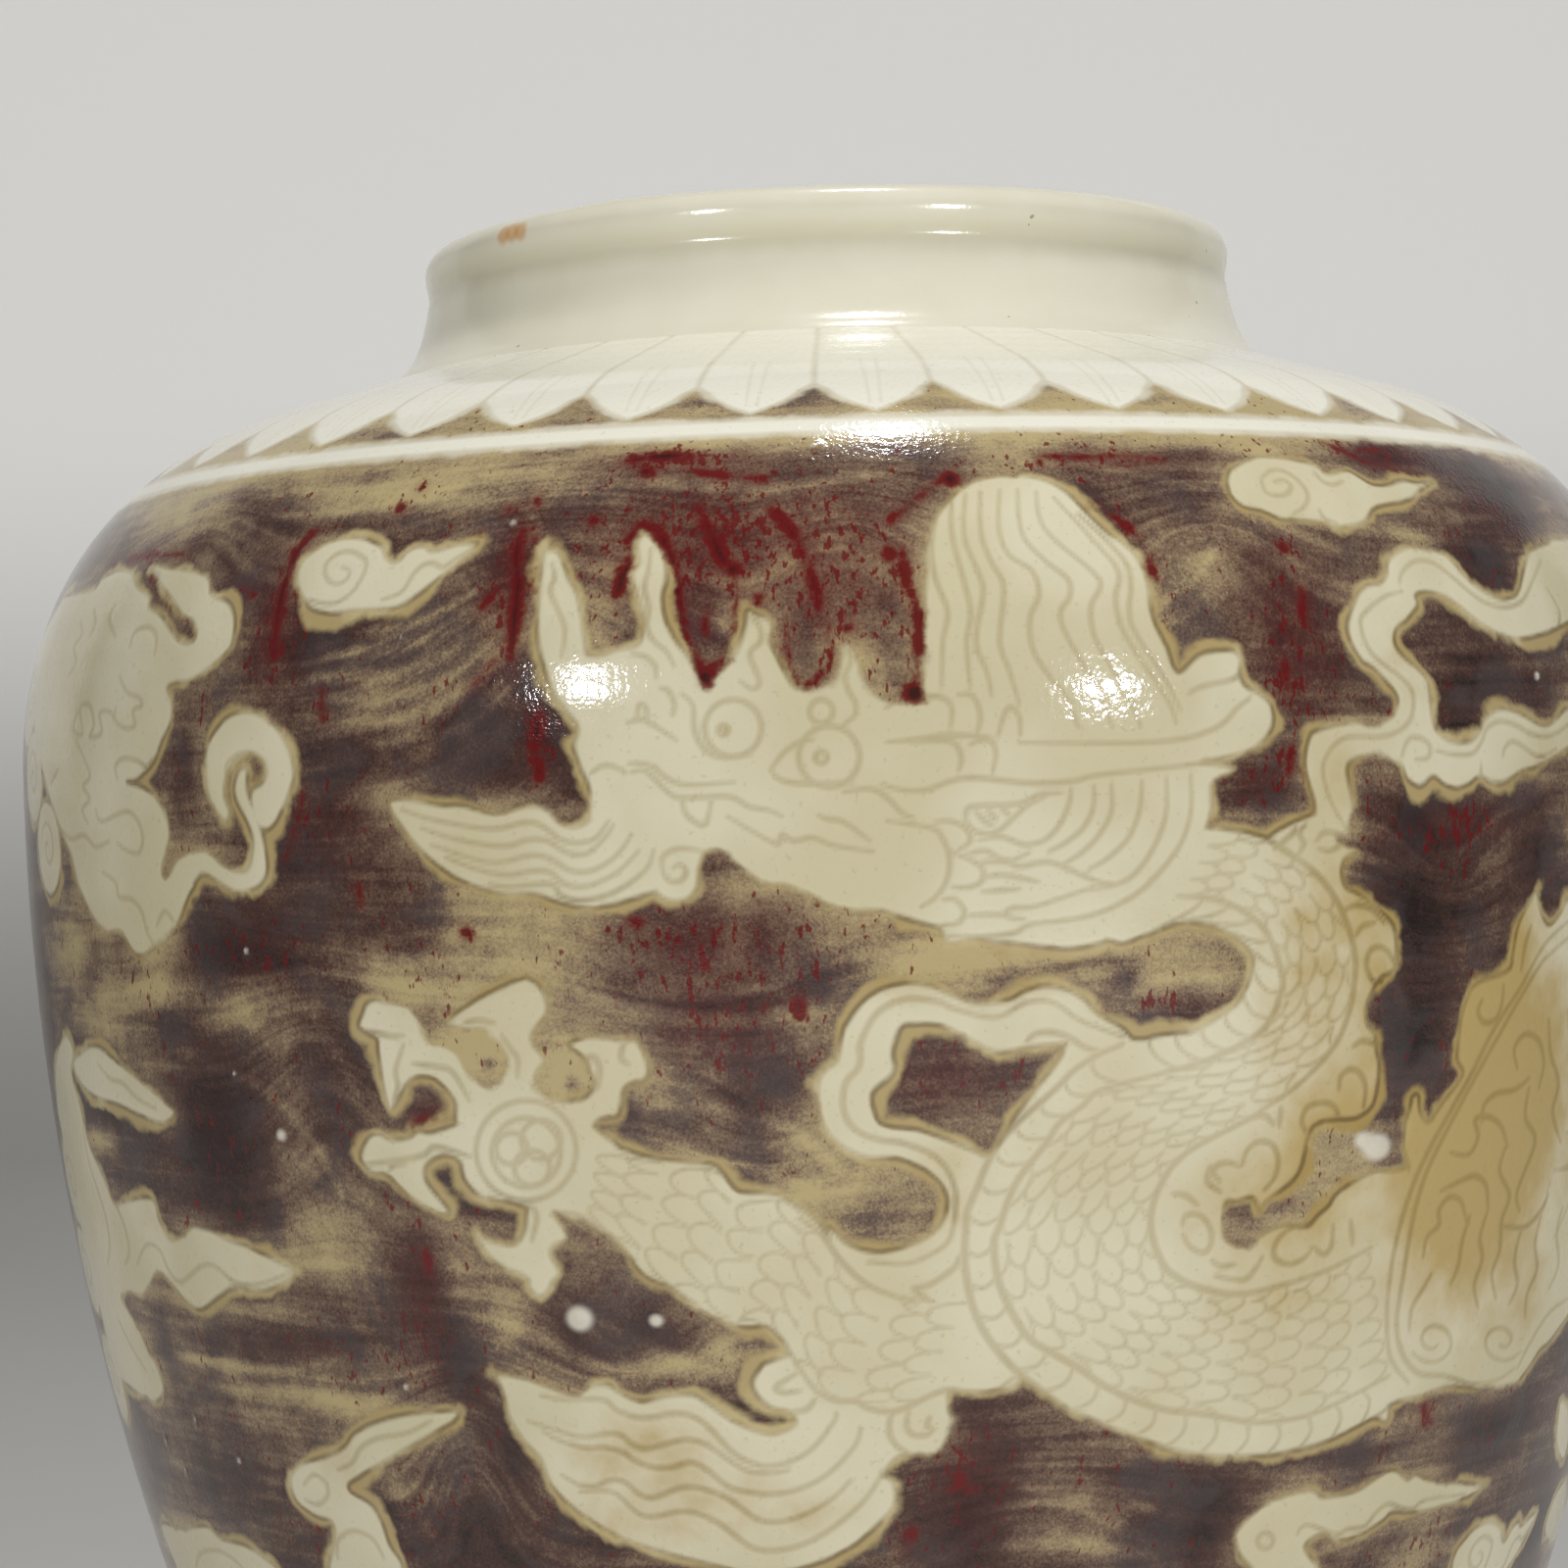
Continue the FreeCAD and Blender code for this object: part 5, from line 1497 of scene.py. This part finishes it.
def wallFinish():
    f = Finish("paintedGlaze")
    c = wallColours
    reserve, cut, drip, stroke = f.field("reserve"), f.field("cut"), f.field("drip"), f.field("stroke")
    tone, warm, red, blob = f.field("tone"), f.field("warm"), f.field("red"), f.field("blob")
    fine, grain, mid, wide = f.cloud(700, 2), f.cloud(1700, 1), f.cloud(150, 3), f.cloud(22, 3)
    streak = f.cloud(30, 3, stretch=(1.0, 1.0, 4.5), warp=0.8, lift=f.field("sweep"))
    brush = f.cloud(26, 1.5, stretch=(1.0, 1.0, 13.0), warp=0.5, lift=f.field("sweep"))
    patch = f.cloud(55, 3, warp=0.5)
    height = f.height()
    # high is 1 in the leaf band, which is painted lighter as painted light from above; its edge bands, pooled
    # colour and cut lines are painted fainter there
    high = height.rise(*glazeLevels["litLeafBand"])

    # pale figures: cream, tan where the glaze is thin, olive where it pools in cuts, with a tan band along
    # the edge that is partly the thin fringe of the colour and partly painted shade of the carved edge
    line = reserve + (mid - 0.5) * 1.6
    stray = (patch * 0.6 + wide * 0.4 - 0.5) * (15.0 - high * 13.5)
    edge = line + (mid - 0.5) * 2.0 + (fine - 0.5) * 0.9 + stray
    pale = edge.rise(-2.4, -0.2)
    cream = f.mix(wide.rise(0.35, 0.65), c["cream"], c["creamPale"])
    brown = warm + warm.rise(0.0, 0.3) * ((mid - 0.5) * 0.7 + (patch - 0.5) * 0.9)
    cream = f.mix(brown.rise(0.05, 1.15), cream, c["tan"])
    # painted light: the top band made whiter
    cream = f.mix(high, cream, c["leaf"])
    # painted shade: an olive-tan band just inside each figure's edge, over the tan fringe
    rim = f.mix(patch.rise(0.4, 0.6), c["halo"], c["rim"])
    cream = f.mix(line.fall(-1.0, 0.8) * (0.80 - high * 0.40), cream, rim)
    # dark colour has run into the cuts that are near the ground
    pooled = line.fall(0.0, 4.5) * patch.rise(0.38, 0.62) * (1 - high)
    cutShare = 0.37 - high * 0.15 + brown.rise(0.1, 0.9) * 0.28 + pooled * 0.22
    cream = f.mix(cut.fall(-0.5, 0.75) * cutShare, cream, f.mix(pooled, c["olive"], c["deepOlive"]))
    cream = f.mix(fine.rise(0.62, 0.76) * 0.18, cream, c["olive"])

    # ground: brushed copper colour from buff to dark, mottled and grained, smoother where it is thick
    mottle = (wide - 0.5) * 0.9 + (streak - 0.5) * 0.7 + (brush - 0.5) * 0.8 + (patch - 0.5) * 0.9
    mottle = mottle - stroke.fall(-1.4, 1.4) * 0.24
    mottle = mottle + edge.rise(-8.0, -2.0) * ((wide - 0.5) * 1.2 - 0.10)
    speckle = (mid - 0.5) * 0.5 + (fine - 0.5) * 0.4 + (grain - 0.5) * 0.6
    shade = tone + (mottle + speckle) * (1.1 - tone.rise(0.4, 1.3) * 0.55)
    ground = f.mix(shade.rise(-0.30, 0.50), c["buff"], c["grey"])
    ground = f.mix(shade.rise(0.20, 0.85), ground, c["plum"])
    ground = f.mix(shade.rise(0.66, 1.30), ground, c["dark"])
    slate = patch.rise(0.48, 0.62) * shade.rise(0.20, 0.60) * (1 - red.rise(0.0, 0.8)) * 0.35
    ground = f.mix(slate, ground, c["slate"])
    stain = red.rise(0.0, 1.2) * 0.50 + drip.fall(0.0, 3.2) * 0.35
    ground = f.mix(stain, ground, f.mix(0.6, ground, c["red"]))
    drops = f.cloud(620, 2, stretch=(1.0, 1.0, 0.45), rough=0.6)
    specks = (drops + red * 0.15 + (f.cloud(36, 2) - 0.5) * 0.3).rise(0.65, 0.73)
    ground = f.mix(specks * 0.85, ground, c["red"])
    colour = f.mix(pale, ground, cream)
    # painted shade: a dark olive line along the carved outline, in patches
    rimLine = abs(line + 0.2).fall(0.1, 0.8) * patch.rise(0.46, 0.62) * (1 - high)
    colour = f.mix(rimLine * 0.5, colour, c["deepOlive"])

    # red runs, deep where they are thick, held back by the pale figures
    ragged = drip + (mid - 0.5) * 5.0 + (patch - 0.5) * 2.6 + (fine - 0.5) * 2.4
    run = ragged.fall(-0.8, 0.9) * (1 - pale * 0.8)
    runRed = f.mix((drip + (mid - 0.5) * 2.0).fall(-1.6, -0.4), c["red"], c["deepRed"])
    colour = f.mix(run * 0.95, colour, runRed)
    colour = f.mix(blob.rise(0.15, 0.7) * 0.85, colour, c["lump"])

    # bare paste under the foot
    bare = (height + (mid - 0.5) * 0.003).fall(*glazeLevels["bareFoot"])
    colour = f.mix(bare, colour, c["paste"])
    roughness = 0.05 + (1 - pale) * 0.03 + fine * 0.06 + bare * 0.5
    bumps = fine * 1.2 + mid * 0.8 + (1 - pale) * grain * 0.6
    return f.coat(colour, roughness, bumps, lift=0.00012, strength=0.5)


# clear glaze on the neck and inside: greenish cream, with an olive band at a height that is partly glaze
# gathered there and partly painted shade, with few pinholes
# and any spots that are named: middle, reach, share and colour
def clearFinish(name, base, pooled, poolAndShadeHeight=0.0, poolAndShadeReach=0.006, spots=()):
    f = Finish(name)
    wide, mid, fine = f.cloud(9, 3), f.cloud(70, 3), f.cloud(800, 2)
    colour = f.mix((wide * 0.7 + mid * 0.3).rise(0.3, 0.7), base, pooled)
    # painted shade: an olive band at one height, partly glaze gathered there
    if poolAndShadeHeight:
        away = abs(f.height() + (mid - 0.5) * 0.002 - poolAndShadeHeight)
        colour = f.mix(away.fall(0.0, poolAndShadeReach) * 0.35, colour, tint(182, 174, 138))
    colour = f.mix(f.cloud(300, 1).rise(0.79, 0.81) * 0.6, colour, tint(110, 98, 76))
    for middle, reach, share, shade in spots:
        away = f.add("VectorMath", {"operation": "DISTANCE"}, {0: f.place(), 1: middle}, take=1)
        colour = f.mix((away + (mid - 0.5) * reach).fall(reach * 0.4, reach) * share, colour, shade)
    return f.coat(colour, 0.11 + fine * 0.08, mid * 0.5 + fine * 0.5, lift=0.00012, strength=0.5)


# fired slip: matt, gritty, with darker grains
def matFinish(name, base, burnt):
    f = Finish(name)
    mid, fine = f.cloud(60, 4), f.cloud(900, 3)
    colour = f.mix(mid.rise(0.35, 0.7), base, burnt)
    colour = f.mix(f.cloud(600, 1).rise(0.70, 0.76) * 0.6, colour, tint(112, 84, 60))
    return f.coat(colour, 0.62 + fine * 0.2, fine * 0.6 + mid * 0.4, lift=0.0003, strength=0.6)


# a burnt mark along the lip and two pinholes, in metres: middle, reach, share and colour
burnt, pinhole = tint(206, 142, 46), tint(120, 104, 78)
neckSpots = (
    ((-0.0773, -0.0688, 0.4402), 0.0034, 0.6, burnt),
    ((-0.0750, -0.0713, 0.4403), 0.0036, 0.6, burnt),
    ((-0.0728, -0.0736, 0.4404), 0.0034, 0.6, burnt),
    ((0.0576, -0.0848, 0.4284), 0.0012, 0.6, pinhole),
    ((-0.0649, -0.0768, 0.4239), 0.0010, 0.6, pinhole),
)
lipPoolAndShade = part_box("neck_ring")[1][2] - 0.0125  # height of the olive band under the lip: glaze gathered in the groove and painted shade under the lip's overhang
finishes = {
    "wall": wallFinish(),
    "neck": clearFinish("neckGlaze", tint(230, 226, 207), tint(222, 217, 194), lipPoolAndShade, spots=neckSpots),
    "inside": clearFinish("insideGlaze", tint(222, 214, 190), tint(206, 196, 164)),
    "slip": matFinish("firedSlip", tint(210, 198, 170), tint(196, 180, 146)),
}
print("finishes made:", len(finishes))

# the last column takes the first one's drawing, so that the round closes
wall = {key: np.concatenate([field[:, :-1], field[:, :1]], 1) for key, field in wall.items()}
sides = ("left", "front", "right", "backRight", "back", "backLeft")
wornInside = finishes["wall"], finishes["inside"]
for side, first, last in zip(sides, columnStart[:-1], columnStart[1:]):
    columns = slice(first, last + 1)
    wallPiece(side + "Upper", "upper_body", slice(rowSeamHigh, None), columns, upperInside(), wornInside)
    wallPiece(side + "Lower", "lower_body", slice(0, rowSeamLow + 1), columns, lowerInside(), wornInside)
wallPiece("bellySlip", "belly_luting_slip", slice(rowSeamLow, rowSeamHigh + 1), slice(None), slipInside(),
          (finishes["wall"], finishes["slip"]), closedRound=True)
print("wall pieces made")

# neck and lip: a profile of radius and height turned round, with the small unevenness of a thrown ring
neckRing = {
    "columns": 360,
    "uneven": 0.0005,        # dies away towards the joint, below this height over the base
    "unevenFrom": 0.012,
    "baseHeight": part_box("neck_ring")[0][2],
    "topHeight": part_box("neck_ring")[1][2],
    "lipHeight": 0.012,
    "lipCrest": 0.0065,      # from the lip's lower edge up to its widest
    "overhang": 0.0009,
    "undercut": 0.0005,      # how far the lip's swell starts under its lower edge
    "roll": 0.0055,          # radii of the lip's roll, outside and inside
    "inRoll": 0.0062,
    "grooveRadius": 0.1028,
    "grooveGap": 0.0015,
    "mouth": 0.092,
    "skirt": 0.0060,         # glaze that runs out over the joint on to the shoulder
    "skirtRise": 0.0050,
    "skirtLift": 0.0001,     # keeps it clear of the shoulder
    "boreEnds": (0.008, 0.010),  # down from the top and up from the base
    "seatRise": 0.005,
}


# outside: a straight flare plus a skirt that dies away; then the lip's swell and roll, the bore, the seat
def neckProfile():
    n = neckRing
    top, groove = n["topHeight"], n["topHeight"] - n["lipHeight"]
    crest = n["grooveRadius"] + n["overhang"]
    foot = jar["landHeight"] - n["skirt"] * math.tan(math.radians(jar["shoulderSlope"])) + n["skirtLift"]
    height = foot + (groove - n["grooveGap"] - foot) * np.linspace(0, 1, 28) ** 1.6
    share = (height - jar["landHeight"]) / (groove - jar["landHeight"])
    flare = jar["neckBase"] + (n["grooveRadius"] - jar["neckBase"]) * np.clip(share, 0, 1) ** 0.8
    outside = np.stack([flare + n["skirt"] * np.exp(-(height - foot) / n["skirtRise"]), height], 1)
    swell = np.linspace(0, 1, 8)
    lip = np.stack([n["grooveRadius"] + n["overhang"] * np.sin(swell * math.pi / 2) ** 2,
                    groove - n["undercut"] + (n["lipCrest"] + n["undercut"]) * swell], 1)
    roll = arc((crest - n["roll"], groove + n["lipCrest"]), n["roll"], 0, 90, 12)[1:]
    inRoll = arc((n["mouth"] + n["inRoll"], top - n["inRoll"]), n["inRoll"], 90, 180, 10)[1:]
    boreTop, boreLow = top - n["boreEnds"][0], n["baseHeight"] + n["boreEnds"][1]
    bore = np.array([(n["mouth"], z) for z in np.linspace(boreTop, boreLow, 5)])
    seat = np.array([(jar["throat"], n["baseHeight"] + n["seatRise"]), (jar["throat"], n["baseHeight"]),
                     (jar["neckBase"], n["baseHeight"]), (jar["neckBase"], jar["landHeight"])])
    return np.concatenate([outside, lip, roll, inRoll, bore, seat])


def neckPiece():
    line = neckProfile()
    angle = np.linspace(0, 2 * math.pi, neckRing["columns"], endpoint=False)
    base = neckRing["baseHeight"]
    share = smoothStep(base, base + neckRing["unevenFrom"], line[:, 1])[:, None]
    drift = neckRing["uneven"] * share * (np.sin(2 * angle + 0.6) * 0.6 + np.sin(3 * angle + 2.1) * 0.4)
    radius = line[:, :1] + drift * 0.6
    height = line[:, 1:] - np.abs(drift) * 0.8
    points = np.stack([radius * np.sin(angle), -radius * np.cos(angle), height], 2)
    mesh = quadMesh("neckAndLip", points, closed=True)
    finishPiece(mesh, "neckAndLip", ["neck_ring"], [finishes["neck"]], sharp=50.0)


neckPiece()
for node, finish in (("base_disc", "inside"), ("base_luting_slip", "slip"), ("neck_luting_slip", "neck")):
    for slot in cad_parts[node].material_slots:
        slot.material = finishes[finish]
print("neck and base made")

# stage: a pale floor that curves up into a backdrop, three round lamps in front and a soft world; metres
stage = {
    "floor": tint(216, 214, 210),
    "glow": tint(172, 171, 168),   # keeps the backdrop pale to the camera and in the glaze
    "deep": 3.0,
    "half": 4.0,
    "tall": 3.5,
    "bend": 0.8,
    "world": 0.19,
    # photograph pixel of each lamp's gleam, then its distance, size and watts
    "lamps": (
        ((596, 700), 1.6, 0.15, 8.0),
        ((1128, 702), 1.6, 0.15, 11.0),
        ((905, 440), 1.6, 0.15, 13.0),
    ),
    "aim": (0.0, 0.0, 0.30),
}


# backdrop: flat floor, a quarter round, then upright, carried straight across
def addBackdrop():
    bend = arc((stage["deep"] - stage["bend"], stage["bend"]), stage["bend"], -90, 0, 24)
    line = np.concatenate([[(-stage["deep"], 0.0)], bend, [(stage["deep"], stage["tall"])]])
    across = np.linspace(-stage["half"], stage["half"], 3)
    points = np.stack(np.broadcast_arrays(across[None, :], line[:, :1], line[:, 1:]), 2)
    mesh = quadMesh("backdrop", points, closed=False)
    mesh.shade_smooth()
    f = Finish("backdrop")
    # camera, glossy and transmission rays
    seen = f.add("LightPath") + f.add("LightPath", take=3) + f.add("LightPath", take=6)
    glow = f.mix(seen.rise(0.0, 1.0) * f.height().rise(0.0, 0.8), (0.0, 0.0, 0.0, 1.0), stage["glow"])
    mesh.materials.append(f.coat(stage["floor"], 0.7, **{"Emission Color": glow, "Emission Strength": 1.0}))
    backdrop = addObject("backdrop", mesh)


# where a lamp has to stand for its gleam to lie on a pixel: the sight line mirrored in the wall
def gleamPlace(pixel, distance):
    (angle, length), = onWall([pixel])
    radius, height = np.interp(length, sectionS, sectionR), np.interp(length, sectionS, sectionZ)
    slopeR, slopeZ = (np.diff(np.interp([length - 0.001, length + 0.001], sectionS, run))[0]
                      for run in (sectionR, sectionZ))
    normal = np.array([math.sin(angle) * slopeZ, -math.cos(angle) * slopeZ, -slopeR])
    normal /= np.linalg.norm(normal)
    at = np.array([radius * math.sin(angle), -radius * math.cos(angle), height])
    sight = at - np.array(photoCamera["place"])
    sight /= np.linalg.norm(sight)
    return at + distance * (sight - 2 * sight.dot(normal) * normal)


def addLamp(place, size, power):
    data = bpy.data.lights.new("softBox", "AREA")
    data.shape, data.size, data.energy = "DISK", size, power
    lamp = addObject("softBox", data)
    lamp.location = place
    lamp.rotation_euler = (Vector(stage["aim"]) - lamp.location).to_track_quat("-Z", "Y").to_euler()


addBackdrop()
for pixel, distance, size, power in stage["lamps"]:
    addLamp(gleamPlace(pixel, distance), size, power)
world = bpy.data.worlds.new("studio")
world.use_nodes = True
sky = world.node_tree.nodes["Background"].inputs
sky["Color"].default_value, sky["Strength"].default_value = (1.0, 1.0, 1.0, 1.0), stage["world"]
bpy.context.scene.world = world
bpy.context.scene.view_settings.view_transform = "Standard"
addCamera()
print("stage, lamps and camera placed")
